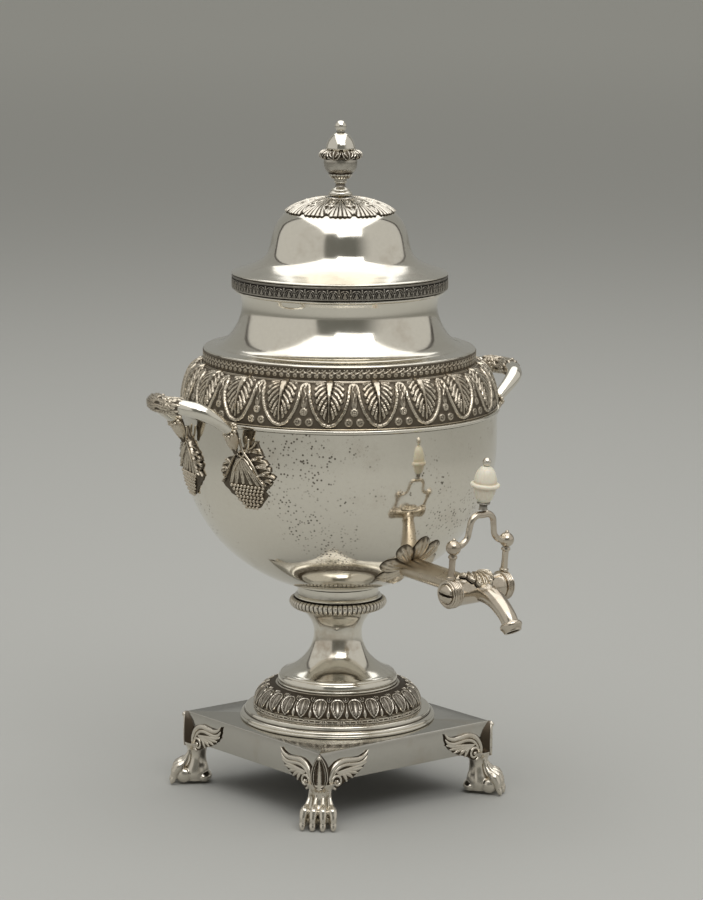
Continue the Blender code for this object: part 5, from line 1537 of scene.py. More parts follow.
        c.mark([(0.8, 3.4), (2.2, 5.0), (2.9, 8.0)], [0.35, 0.5, 0.6], 2.5)
        c.mark([(-9, 0.2), (9, 0.2)], 0.7, 1.7, bend=1)
        turn = math.radians(self.collar_turn)
        form = Form().turn(outline, bore=self.stud, relief=c.height - 1.9, repeats=self.collar_leaves,
                           phase=turn)
        self.bench.dress(form, "finial_leaves", ["finial_leaf_collar"], Body.LID, "chased_silver",
                         "tarnished_silver")
        bud = run(
            smooth([(8.9, 425.7), (9.5, 426.4), (9.3, 428.6), (8.4, 431.2), (6.8, 433.9), (4.9, 435.9),
                    (3.5, 436.7)], 6),
            [(2.9, 436.9), (2.9, 437.3)],
        )
        form = Form().turn(bud, 96, bore=0.6)
        self.bench.dress(form, "finial_bud_turned", ["finial_bud"], Body.LID, slot="tarnished_silver")
        seat = np.array([(0.02, 437.3), (2.6, 437.35), (2.6, 438.6), (0.02, 438.7)])
        form = Form().ball((0, 0, 440.95), 3.85, 32).turn(seat, 40)
        self.bench.dress(form, "finial_ball_turned", ["finial_ball"], Body.LID)


@dataclass
class Feet(Assembly):
    """Four paws on the plinth's diagonals, each with a crest and two wings."""

    corner: float = 101.0
    top: float = 48.8
    side: float = 71.4
    toes: int = 4
    scroll: tuple[float, float] = (13.2, 20.2)
    scroll_radius: float = 4.4

    def build(self) -> None:
        """Makes one foot and sets it at each corner."""
        foot = self.paw().join(self.crest())
        wing = self.wing()
        foot.join(wing).join(wing.placed(Matrix.Diagonal((1, -1, 1, 1))))
        for word, quarter in (("back_right", 0), ("back_left", 1), ("front_left", 2), ("front_right", 3)):
            turn = Matrix.Rotation(math.pi / 4 + quarter * math.pi / 2, 4, "Z")
            self.bench.dress(foot.placed(turn), f"winged_foot_{word}", [f"foot_{word}"],
                             finish="chased_silver", slot="tarnished_silver")

    def paw(self) -> Form:
        """Ankle, toes, knuckles and claws as one casting; x runs outwards along the diagonal.

        Returns:
            The paw.
        """
        form = Form()
        rows = [(2.2, 96.0, 8.0, 8.6), (6.0, 96.0, 9.4, 9.6), (11.0, 95.6, 8.6, 9.0),
                (15.0, 94.9, 6.8, 7.8), (19.0, 94.5, 6.1, 7.1), (23.0, 94.4, 6.5, 7.4),
                (26.2, 94.0, 8.4, 9.2), (28.6, 93.6, 9.6, 10.6)]
        body = smooth(rows, 4)
        angle = circle_angles(40)
        across = body[:, 1:2] + body[:, 2:3] * np.cos(angle)
        height = np.repeat(body[:, :1], len(angle), axis=1)
        form.net(np.stack([across, body[:, 3:4] * np.sin(angle), height], axis=2))
        form.ball((89.6, 0, 4.6), (5.2, 8.6, 4.4), 24)
        for toe in range(self.toes):
            place = 2 * toe / (self.toes - 1) - 1
            spread = 9.6 * place
            drop = 1.6 * place * place
            line = [
                (99.4 - drop * 0.4, spread * 0.66, 24.5), (100.6 - drop * 0.5, spread * 0.7, 19.5),
                (103.6 - drop * 0.8, spread * 0.82, 15.2), (107.0 - drop, spread * 0.93, 12.2),
                (109.3 - drop, spread, 8.6), (109.9 - drop, spread * 1.02, 5.4),
            ]
            form.tube(smooth(line, 5), swell([0.7, 0.95, 1.7, 3.05, 2.5, 2.2], 5), 20)
            form.ball((107.6 - drop, spread * 0.93, 11.9), (3.2, 3.15, 3.1), 20)
            form.ball((104.0 - drop, spread * 0.86, 6.2), (5.2, 2.9, 5.0), 20)
            tilt = Matrix.Rotation(math.radians(-24), 4, "Y")
            form.ball((110.6 - drop, spread * 1.03, 3.9), (2.0, 2.25, 3.7), 20, turn=tilt)
        return form.fused(voxel=0.42, rounds=2, span=0.42)

    def crest(self) -> Form:
        """Pointed oval over the corner: a double rim, a stippled field, a rib and a ball.

        Returns:
            The crest.
        """
        half = smooth([(25.2, 1.5), (27.4, 4.0), (31.0, 5.5), (35.2, 5.65), (39.6, 4.9), (44.0, 3.2),
                       (46.6, 1.6), (48.6, 0.35)], 7)
        height, wide = half[:, :1], half[:, 1:]
        share = np.sin(np.linspace(-math.pi / 2, math.pi / 2, 49))[None]
        across = wide * share
        edge = (1 - np.abs(share)) * wide
        ends = np.minimum(height - 25.2, 48.6 - height)
        near = np.minimum(edge, ends * 0.8)
        rim = np.exp(-(((near - 0.55) / 0.42) ** 2)) + 0.75 * np.exp(-(((near - 1.75) / 0.4) ** 2))
        rib = 1.15 * np.exp(-((across / (0.55 + 0.055 * (44 - height))) ** 2)) * (height < 45)
        seeds = 0.22 * np.sin(across * 6.0 + height) * np.sin(height * 5.2)
        relief = 0.5 + 1.2 * np.maximum(rim, rib) + seeds * (near > 1.9) + 0.5 * (1 - share**2)
        out = self.corner + 0.2
        level = np.repeat(height, share.size, axis=1)
        over = np.stack([out + relief, across, level], axis=2)
        under = np.stack([np.full(across.shape, out - 5.0), across, level], axis=2)
        form = Form().sheet(over, under, np.clip(recess(relief - relief.min()) * 1.2, 0, 1))
        return form.ball((out + 1.9, 0, 46.3), 1.5, 16)

    def on_side(self, place: Sequence[float], lift: float) -> tuple[float, float, float]:
        """Point on the plinth's side beside the corner, in the foot's own directions.

        Args:
            place: distance from the corner and depth below the plinth's top.
            lift: distance off the side.

        Returns:
            The point.
        """
        x, y = self.side + 0.3 + lift, self.side - place[0]
        return ((x + y) / math.sqrt(2), (y - x) / math.sqrt(2) * -1, self.top - place[1])

    def wing(self) -> Form:
        """Feathered wing on one side: a strong top ridge out of a scroll, with feathers under it.

        Returns:
            The wing.
        """
        form = Form()
        face = np.array([1, 1, 0]) / math.sqrt(2)

        def quill(path: Path, widths: Sequence[float], lift: float, flat: float) -> None:
            """Adds one rounded quill on the plinth's side.

            Args:
                path: places from the corner and below the top.
                widths: its radius, evenly along the path.
                lift: distance of its middle off the side.
                flat: thickness as a share of the width.
            """
            line = smooth(path, 7)
            wide = swell(widths, 7)
            wide = np.interp(np.linspace(0, 1, len(line)), np.linspace(0, 1, len(wide)), wide)
            form.tube([self.on_side(row, lift) for row in line], wide, 14, face, flat)

        edge = [(-1.6, 12.6), (4.7, 12.2), (8.3, 10.2), (12.2, 7.2), (16.6, 5.9), (25.3, 6.4), (32.4, 6.4),
                (36.7, 4.8), (39.0, 3.3), (38.7, 7.0), (37.1, 11.5), (34.6, 14.6), (27.4, 19.0),
                (20.5, 21.2), (17.0, 23.0), (13.8, 24.6), (10.4, 24.2), (8.2, 22.4), (4.0, 22.6),
                (-1.6, 22.6)]
        ring = np.array([self.on_side(row, 0.0) for row in edge])
        self.plate(form, ring, face * 0.7)
        quill([(7.6, 21.6), (7.4, 17.4), (9.4, 12.6), (13.2, 8.9), (17.4, 7.4), (25.3, 7.7), (32.4, 7.8),
               (36.6, 6.0), (39.0, 3.4)],
              [1.0, 1.35, 1.6, 1.75, 1.7, 1.6, 1.4, 1.0, 0.35], 1.0, 0.75)
        quill([(9.6, 21.0), (9.9, 17.4), (12.0, 13.6), (15.4, 11.2), (20.0, 10.2), (26.0, 10.7),
               (32.0, 11.0), (36.4, 9.4), (38.3, 7.2)],
              [0.5, 0.8, 0.95, 1.15, 1.25, 1.3, 1.3, 1.1, 0.5], 0.9, 0.7)
        tips = [(37.2, 11.2), (34.2, 14.4), (30.4, 17.2), (25.9, 19.4), (21.4, 21.2)]
        for k, tip in enumerate(tips):
            start = (13.0 + 0.75 * k, 14.2 + 0.55 * k)
            bend = (start[0] + (tip[0] - start[0]) * 0.42, start[1] + (tip[1] - start[1]) * 0.08 - 0.5)
            far = (start[0] + (tip[0] - start[0]) * 0.78, start[1] + (tip[1] - start[1]) * 0.5 - 0.2)
            quill([start, bend, far, tip], [0.45, 1.15, 1.35, 0.6], 0.85, 0.7)
        spiral = []
        for a in np.linspace(-0.4 * math.pi, 2.15 * math.pi, 14):
            radius = self.scroll_radius - 1.45 * a / math.pi * 0.9
            across, below = self.scroll
            spiral.append((across + radius * math.cos(math.pi - a), below - radius * math.sin(math.pi - a)))
        quill(spiral, [0.9] * 10 + [0.7, 0.6, 0.5, 0.5], 1.0, 0.8)
        form.ball(self.on_side(self.scroll, 1.2), 1.25, 14)
        return form

    def plate(self, form: Form, ring: Array, thickness: Array) -> None:
        """Adds a thin flat plate with this outline, in strips from its middle.

        Args:
            form: form to add to.
            ring: points of the outline.
            thickness: way through the plate.
        """
        count = len(ring)
        lower = ring[::-1][: count // 2]
        upper = ring[: count // 2]
        over = np.stack([upper + thickness, lower + thickness], axis=1)
        under = np.stack([upper, lower], axis=1)
        # Painted shade: the plate, seen between the quills, is made dark all over.
        form.sheet(over, under, 0.85)


@dataclass
class Handles(Assembly):
    """Two grips, each with a vine wrap, two beaded sockets and two vine leaves with grapes."""

    turn: float = 17.2
    gauge: float = 105.7
    bowl_radius: float = 103.7
    bowl_depth: float = 100.0
    bowl_middle: float = 235.0
    root: tuple[float, float, float] = (111.3, 29.6, 256.0)
    length: float = 30.5
    rise: float = 16.0
    thick: float = 5.2
    flat: float = 0.94

    def build(self) -> None:
        """Makes one quarter of the mounts and mirrors it."""
        leaf, socket = self.leaf(), self.socket()
        grip, wrap = self.grip()
        for side, word in ((1, "right"), (-1, "left")):
            flip = Matrix.Diagonal((side, 1, 1, 1))
            self.bench.dress(grip.placed(flip), f"grip_{word}", [f"handle_{word}_grip"])
            self.bench.dress(wrap.placed(flip), f"vine_wrap_{word}", [f"handle_{word}_vine_wrap"],
                             finish="dark_chased_silver", slot="tarnished_silver")
            for end, place in ((1, "back"), (-1, "front")):
                both = Matrix.Diagonal((side, end, 1, 1))
                self.bench.dress(socket.placed(both), f"beaded_socket_{word}_{place}",
                                 [f"handle_{word}_{place}_socket"], finish="dark_chased_silver")
                self.bench.dress(leaf.placed(both), f"vine_leaf_{word}_{place}",
                                 [f"handle_{word}_{place}_leaf"],
                                 finish="dark_chased_silver", slot="tarnished_silver")

    def on_bowl(self, across: Array, height: Array, lift: Array) -> Array:
        """Points on the bowl beside the leaf's middle.

        Args:
            across: distance across from the leaf's middle.
            height: height above the floor.
            lift: distance off the bowl.

        Returns:
            The points, with a last axis of 3.
        """
        places = (np.asarray(values, float) for values in (across, height, lift))
        across, height, lift = np.broadcast_arrays(*places)
        below = np.minimum(height - self.bowl_middle, 0) / self.bowl_depth
        radius = self.bowl_radius * np.sqrt(1 - below**2)
        out, up = radius / self.bowl_radius**2, below / self.bowl_depth
        size = np.hypot(out, up)
        angle = math.radians(self.turn) + across / self.gauge
        radius = radius + lift * out / size
        return np.stack([radius * np.cos(angle), radius * np.sin(angle), height + lift * up / size],
                        axis=-1)

    def leaf(self) -> Form:
        """Lobed vine leaf that hugs the bowl, with leaflets and a bunch of grapes.

        Returns:
            The leaf.
        """
        left = np.array([(256.0, 3.0), (249.0, 1.4), (245.0, -2.0), (241.5, -6.6), (239.8, -9.0),
                         (235.9, -16.8), (231.0, -20.6), (226.9, -21.5), (223.2, -19.6), (220.6, -21.9),
                         (217.6, -19.5), (215.7, -16.4), (213.6, -14.8), (212.0, -10.8), (208.6, -7.2),
                         (206.9, -3.4), (204.6, 1.0)])
        right = np.array([(256.0, 7.0), (249.0, 8.6), (245.0, 10.4), (241.5, 12.4), (239.2, 13.6),
                          (236.5, 15.8), (233.5, 18.7), (230.0, 19.0), (227.1, 21.9), (223.8, 20.0),
                          (221.2, 18.2), (218.9, 15.4), (216.8, 13.6), (214.4, 15.6), (212.2, 13.7),
                          (208.6, 10.6), (205.9, 8.4), (204.6, 4.4)])
        height = np.linspace(204.6, 249.0, 112)
        notches = sum(np.exp(-(((height - z) / 0.55) ** 2)) for z in (224.2, 229.4, 233.9, 238.4))
        low = np.interp(height, left[::-1, 0], left[::-1, 1]) + 2.0 * notches
        high = np.interp(height, right[::-1, 0], right[::-1, 1]) - 2.2 * notches
        share = np.linspace(0, 1, 84)[None]
        across = low[:, None] + (high - low)[:, None] * share
        level = np.repeat(height[:, None], share.size, axis=1)
        edge = np.minimum(share, 1 - share) * (high - low)[:, None]
        edge = np.minimum(edge, (level - 204.2) * 0.8)
        c = Chasing(across, level)
        for start, tip, wide in (
            ((-2.0, 241.0), (13.2, 242.6), 2.0),
            ((3.0, 236.8), (16.8, 237.0), 2.2),
            ((6.2, 232.2), (19.8, 232.6), 2.2),
            ((9.6, 227.8), (21.6, 227.6), 2.1),
            ((13.6, 224.4), (20.6, 222.2), 1.7),
            ((-9.0, 237.8), (-15.6, 238.0), 1.8),
            ((-11.6, 233.2), (-19.4, 233.0), 2.0),
            ((-13.8, 228.6), (-21.6, 227.6), 2.0),
            ((-16.4, 224.2), (-21.4, 221.6), 1.7),
        ):
            bend = ((start[0] + tip[0]) / 2, (start[1] + tip[1]) / 2 + 1.3)
            c.mark([start, bend, tip], [0.7, wide, wide * 0.9], 1.7)
            for shift in (-0.75, 0.0, 0.75):
                c.mark([(start[0], start[1] + shift * 0.3), (bend[0], bend[1] + shift),
                        (tip[0], tip[1] + shift)],
                       [0.2, 0.26, 0.2], 0.75, Rise.WEDGE, Way.SINK)
        for tip in ((-13.6, 218.6), (-8.4, 220.6), (-2.6, 221.6), (3.4, 221.6), (9.0, 220.8),
                    (14.2, 219.4)):
            bend = (tip[0] * 0.45 - 2.6, 231.5)
            c.mark([(-5.6, 239.6), bend, tip], [0.4, 1.7, 1.2], 1.25)
            c.mark([(-5.6, 239.6), bend, tip], 0.24, 0.7, Rise.WEDGE, Way.SINK)
        c.mark([(8.4, 249.5), (6.4, 246.0), (0.6, 243.0), (-6.1, 240.5), (-11.3, 233.7), (-14.6, 227.5),
                (-18.3, 221.0)],
               [0.9, 0.85, 0.75, 0.7, 0.65, 0.5, 0.35], 2.7)
        c.mark([(-9.0, 246.0), (-7.8, 242.6), (-6.1, 240.5), (1.2, 236.8), (4.9, 232.5), (9.6, 226.8),
                (15.6, 221.6)],
               [0.9, 0.8, 0.75, 0.8, 0.75, 0.6, 0.4], 2.9)
        relief = np.clip(edge * 1.4, 0, 1) * (0.5 + c.height * 0.9) + 0.5
        # Painted shade: from 221.2 mm down, behind the bunch of grapes, the leaf is made dark.
        form = Form().sheet(self.on_bowl(across, level, relief), self.on_bowl(across, level, 0.15),
                            np.clip(recess(relief) * 1.35 + np.clip((221.2 - level) * 0.6, 0, 0.95), 0, 1))
        for row in range(7):
            level = 219.6 - 2.25 * row
            first = np.interp(level, (205.5, 212.0, 219.6), (-1.6, -7.6, -12.2))
            last = np.interp(level, (205.5, 212.0, 219.6), (6.0, 11.4, 13.0))
            count = int((last - first) / 2.75) + 1
            for k in range(count):
                spot = (first + last) / 2 + (k - (count - 1) / 2) * 2.75
                form.ball(self.on_bowl(spot, level, 1.9), 1.22, 12)
        return form

    def socket(self) -> Form:
        """Ring of beads, bud with its petals and two stems that cross over the leaf.

        Returns:
            The socket.
        """
        form = Form()
        root = np.array(self.root)
        line = smooth([root + (1.2, 0, 1.0), (109.9, 29.3, 253.6), (108.0, 28.8, 249.6),
                       (106.9, 28.1, 245.0), (106.0, 27.9, 241.6)], 6)
        # Painted shade: the bud's body, seen between its petals, is made dark.
        form.tube(line, swell([3.7, 4.1, 3.4, 2.2, 1.4], 6), 24, depth=0.95)
        along = np.array([0.8, 0.0, 0.6])
        side = np.array([0, 1.0, 0])
        over = np.cross(side, along)
        for k in range(11):
            a = FULL_TURN * k / 11
            form.ball(root + (side * math.cos(a) + over * math.sin(a)) * 4.75 + along * 0.4, 1.32, 14)
        # Painted shade: the disc inside the ring of beads, round the grip, is made black.
        form.tube([root - along * 0.4, root + along * 1.4], 4.5, 28, side, depth=1.0, round_ends=False)
        for lean in (-62, 0, 62):
            a = math.radians(lean)
            out = np.array([math.cos(a), math.sin(a), 0.0])
            petal = [line[3] + out * 3.6, line[8] + out * 4.5, line[13] + out * 3.9, line[18] + out * 2.6,
                     line[21] + out * 1.5]
            form.tube(smooth(petal, 5), swell([1.2, 2.5, 2.5, 1.5, 0.3], 5), 14, out, 0.36)
            rib = [point + out * 0.8 for point in petal]
            form.tube(smooth(rib, 5), 0.35, 8, out)
        for hand in (1, -1):
            stem = [(-3.4, 250.0, 3.4), (-2.6, 245.5, 2.8), (0.0, 240.8, 2.5), (3.2, 237.4, 2.4),
                    (6.6, 233.4, 2.6), (9.4, 228.6, 2.5)]
            path = smooth([self.on_bowl(x * hand, z, lift + 0.25 * hand) for x, z, lift in stem], 6)
            form.tube(path, np.linspace(0.95, 0.6, len(path)), 12)
        return form

    def grip(self) -> tuple[Form, Form]:
        """Grip between the two sockets, and the vine that lies over its middle.

        Returns:
            The grip and the vine.
        """
        rows = [(0.00, 0.00, 1.000, 0.72), (0.16, 0.24, 0.990, 0.80), (0.35, 0.50, 0.965, 0.88),
                (0.62, 0.82, 0.845, 1.00), (0.84, 0.97, 0.540, 1.02)]
        x, y, z = self.root
        half = [(x + self.length * a, y * c, z + self.rise * b, self.thick * d) for a, b, c, d in rows]
        apex = [(x + self.length, 0.0, z + self.rise, self.thick * 0.94)]
        full = half + apex + [(x, -y, z, r) for x, y, z, r in half[::-1]]
        line = smooth(full, 12)
        grip = Form().tube(line[:, :3], line[:, 3], 40, flat=self.flat)
        middle = np.flatnonzero(np.abs(line[:, 1]) < self.root[1] * 0.82)
        core = even(line[middle], 110)
        t = np.gradient(core[:, :3], axis=0)
        t /= np.linalg.norm(t, axis=1, keepdims=True)
        s = travel(core[:, :3])
        s -= s[-1] / 2
        angle = circle_angles(96)
        around = (angle * self.thick)[None] + 0 * s[:, None]
        along = s[:, None] + 0 * angle[None]
        c = Chasing(around, along, FULL_TURN * self.thick)
        top = math.pi / 2 * self.thick
        pitch = FULL_TURN * self.thick / 8
        for k in range(8):
            for lean in (-1, 1):
                for shift, start, tip in ((0.0, 0.6, 12.6), (0.5, 3.2, 15.4)):
                    x = (k + shift) * pitch
                    line = [(x, start * lean), (x + 0.7, (start + 4.5) * lean), (x, tip * lean)]
                    c.leaf(line, [1.3, 2.1, 0.5], 1.2 - 0.3 * shift, 4)
        c.mark([(top - 9, -13), (top - 3, -5), (top + 3, 3), (top + 9, 12)], 0.6, 1.3)
        side = np.cross(t, (0, 0, 1.0))
        side /= np.linalg.norm(side, axis=1, keepdims=True)
        over = np.cross(side, t)
        ring = hoops(side, over, len(angle), self.flat)
        relief = c.height
        ends = np.clip((16.5 - np.abs(s)) * 0.4, 0, 1)[:, None]
        radius = core[:, 3:4] - 0.35 + (0.45 + relief * 1.05) * ends
        wrap = Form().net(core[:, None, :3] + ring * radius[:, :, None],
                          np.clip(recess(relief) * 1.3, 0, 1))
        for place, spots in (
            (-7.5, ((0.15, 0), (0.55, 1.9), (0.95, -0.3), (-0.25, 2.0))),
            (7.0, ((2.2, 0), (2.6, 2.0), (3.0, 0.2), (2.3, -2.0))),
        ):
            for turn, shift in spots:
                k = int(np.argmin(np.abs(s - place - shift)))
                direction = side[k] * math.cos(turn) + over[k] * math.sin(turn)
                wrap.ball(core[k, :3] + direction * (core[k, 3] + 0.45), 1.35, 12)
        return grip, wrap


@dataclass
class Tap(Assembly):
    """Pipe with its rosette, barrel with a shell over it, spout and lip."""

    y: float = -139.5
    z: float = 158.6
    slope: float = 3.0
    barrel_half: float = 19.0
    barrel_left: float = 8.6
    barrel_right: float = 8.3
    bore: float = 4.2
    rosette: tuple[float, float, float] = (0.0, -73.8, 163.6)
    rosette_size: tuple[float, float] = (23.0, 27.0)
    leaves: int = 8
    reach: float = 32.4
    drop: float = 15.7
    spout_radius: float = 5.8
    bowl: tuple[float, float, float] = (103.7, 100.0, 235.0)
    lobes: int = 7
    shell_half: float = 12.6
    shell_front: float = 12.8
    shell_back: float = 4.5
    shell_radius: float = 8.9

    def build(self) -> None:
        """Makes the fixed pieces of the tap."""
        along = np.array([0, math.cos(math.radians(self.slope)), math.sin(math.radians(self.slope))])
        centre = np.array([0, self.y, self.z])
        spots = [(74.0, 6.9), (60, 6.9), (24, 6.8), (15.5, 6.7), (14.6, 7.6), (13.2, 7.9), (12.0, 7.5),
                 (11.4, 6.9), (8.0, 7.2), (6.5, 7.4)]
        line = np.array([(*(centre + along * d), r) for d, r in spots])
        line = np.vstack([np.linspace(a, b, 4)[:-1] for a, b in zip(line[:-1], line[1:])] + [line[-1:]])
        form = Form().pipe(line[:, :3], line[:, 3], self.bore, 48)
        self.bench.dress(form, "tap_pipe_turned", ["tap_pipe"], finish="brown_silver")
        half, left, right = self.barrel_half, self.barrel_left, self.barrel_right
        outline = run(
            [(0.02, -half), (left - 0.8, -half)],
            smooth([(left, -half + 0.3), (left + 0.25, -half + 1.3), (left, -half + 2.3)], 3),
            even(np.array([(left - 0.1, -half + 2.6), (right - 0.1, half - 2.6)]), 12),
            smooth([(right, half - 2.3), (right + 0.25, half - 1.3), (right, half - 0.3)], 3),
            [(right - 0.8, half), (0.02, half)],
        )
        across = Matrix.Translation((0, self.y, self.z)) @ Matrix.Rotation(math.pi / 2, 4, "Y")
        form = Form().turn(outline, 96).placed(across)
        self.bench.dress(form, "tap_barrel_turned", ["tap_barrel"], finish="tap_silver")
        self.flower()
        self.spout()
        self.shell()

    def flower(self) -> None:
        """Makes the rosette of pointed ribbed leaves round the pipe."""
        cols, rows = 40, 40
        x = (2 * (np.arange(cols) + 0.5) / cols - 1)[None]
        t = np.linspace(0, 1, rows)[:, None]
        end = 1.0 - 0.36 * np.abs(x) ** 2.2
        share = 0.27 + t * (end - 0.27)
        rise = np.sin(math.pi * np.clip(share, 0, 1) ** 0.9) * 2.4 + 0.7
        lobe = (1 - np.abs(x) ** 2.4) * (0.9 + 0.6 * share)
        outer = 0.6 * np.exp(-(((np.abs(x) - 0.42) * 9) ** 2))
        ribs = 0.75 * np.exp(-((x * 9) ** 2)) + outer * np.clip(share * 3 - 0.8, 0, 1)
        edge = np.clip((1 - t) * 5, 0.15, 1)
        relief = (rise * 0.75 * (0.4 + 0.6 * lobe) + ribs * 1.3) * edge + 0.35
        depth = recess(relief)
        depth = np.maximum(depth, np.clip(np.abs(x) ** 6 * 1.4, 0, 1))
        turn = FULL_TURN * (np.arange(cols * self.leaves) + 0.5) / (cols * self.leaves)
        turn = turn + math.pi / self.leaves
        share, relief, depth = (np.tile(values, (1, self.leaves)) for values in (share, relief, depth))
        centre = np.array(self.rosette)
        radius, tall, middle = self.bowl
        out = np.array([0, centre[1] / radius**2, (centre[2] - middle) / tall**2])
        out /= np.linalg.norm(out)
        up = np.cross((1.0, 0, 0), out) * -1
        up = up if up[2] > 0 else -up
        wide, high = self.rosette_size
        across = wide * np.cos(turn)[None, :, None] * np.array([1.0, 0, 0])
        flat = centre + share[..., None] * (across + high * np.sin(turn)[None, :, None] * up)
        local = flat - (0, 0, middle)
        size = np.sqrt((local[..., 0] ** 2 + local[..., 1] ** 2) / radius**2 + local[..., 2] ** 2 / tall**2)
        skin = local / size[..., None]
        normal = skin / np.array([radius**2, radius**2, tall**2])
        normal /= np.linalg.norm(normal, axis=-1, keepdims=True)
        skin = skin + (0, 0, middle)
        over = skin + normal * relief[..., None]
        under = (skin + normal * 0.2)[::-6]
        # Painted shade: the under layer of the rosette, against the bowl, is made dark.
        form = Form().net(np.vstack([over, under]), np.vstack([depth, under[..., 0] * 0 + 0.9]),
                          joined=True)
        self.bench.dress(form, "pipe_rosette", ["tap_rosette"], finish="dark_chased_silver",
                         slot="tarnished_silver")

    def spout(self) -> None:
        """Makes the bent spout and its lip."""
        rows = [(0.12, 0.01, 1.18), (0.28, 0.045, 1.14), (0.41, 0.10, 1.10), (0.586, 0.242, 1.04),
                (0.728, 0.427, 1.0), (0.858, 0.637, 0.96), (0.966, 0.879, 0.94), (1.0, 1.0, 0.94)]
        places = [(0, self.y - self.reach * a, self.z - self.drop * b, self.spout_radius * r) for a, b,
                  r in rows]
        line = smooth(places, 6)
        form = Form().pipe(line[:, :3], line[:, 3], self.bore, 48)
        self.bench.dress(form, "bent_spout", ["tap_spout"], finish="tap_silver")
        outline = run(
            smooth([(5.4, -6.3), (5.7, -6.05), (5.8, -5.6), (6.2, -4.6), (6.8, -3.4)], 4),
            smooth([(7.1, -3.0), (7.2, -2.2), (7.1, -1.4), (6.8, -0.9)], 4),
            [(6.5, -0.7), (6.4, -0.3)],
        )
        form = Form().turn(outline, 72, back=np.array([(self.bore, -0.3), (self.bore, -6.0), (4.6, -6.3)]))
        end = Vector(line[-1][:3])
        ahead = Vector(line[-1][:3] - line[-4][:3]).normalized()
        turn = Vector((0, 0, -1)).rotation_difference(ahead).to_matrix().to_4x4()
        self.bench.dress(form.placed(Matrix.Translation(end) @ turn), "spout_lip_turned", ["spout_lip"],
                         finish="tap_silver")

    def shell(self) -> None:
        """Makes the scalloped shell that lies over the barrel."""
        a = np.linspace(0, math.pi, 155)[None]
        t = np.linspace(0, 1, 44)[:, None]
        across = 2 * ((a * self.lobes / math.pi) % 1.0) - 1
        end = 0.86 + 0.14 * np.sqrt(np.maximum(1 - across**2, 0))
        out = 0.04 + t * (end - 0.04)
        near = np.minimum(1 - np.abs(across), (1 - t) * 2.6)
        rim = np.exp(-(((near - 0.24) / 0.15) ** 2)) * np.clip(t * 4 - 0.4, 0, 1)
        loop = np.exp(-(((np.hypot(across * 1.15, (t - 0.7) * 3.4)) - 0.4) / 0.16) ** 2) * 0.6
        dome = 1.1 + 1.1 * np.sin(math.pi * np.clip(out * 0.8 + 0.15, 0, 1))
        relief = (dome + 1.1 * np.maximum(rim, loop)) * np.clip((1 - t) * 7, 0.2, 1)
        relief = relief * np.clip(np.sin(a) * 9 + 0.25, 0.25, 1)
        relief = relief + 0.7 * np.exp(-((out / 0.13) ** 2))

        def place(lift: Array) -> Array:
            """Points of the shell over the barrel.

            Args:
                lift: distance of each point off the barrel.

            Returns:
                The points.
            """
            forward = (self.shell_front + self.shell_back) * out * np.sin(a) - self.shell_back
            radius = self.shell_radius + lift
            turn = forward / self.shell_radius
            x = self.shell_half * out * np.cos(a)
            return np.stack([x, self.y - radius * np.sin(turn), self.z + radius * np.cos(turn)], axis=-1)

        form = Form().sheet(place(relief), place(relief * 0 + 0.05),
                            np.clip(recess(relief - relief.min()) * 1.1, 0, 1))
        self.bench.dress(form, "barrel_shell", ["tap_shell_ornament"], finish="dark_chased_silver",
                    slot="tarnished_silver")


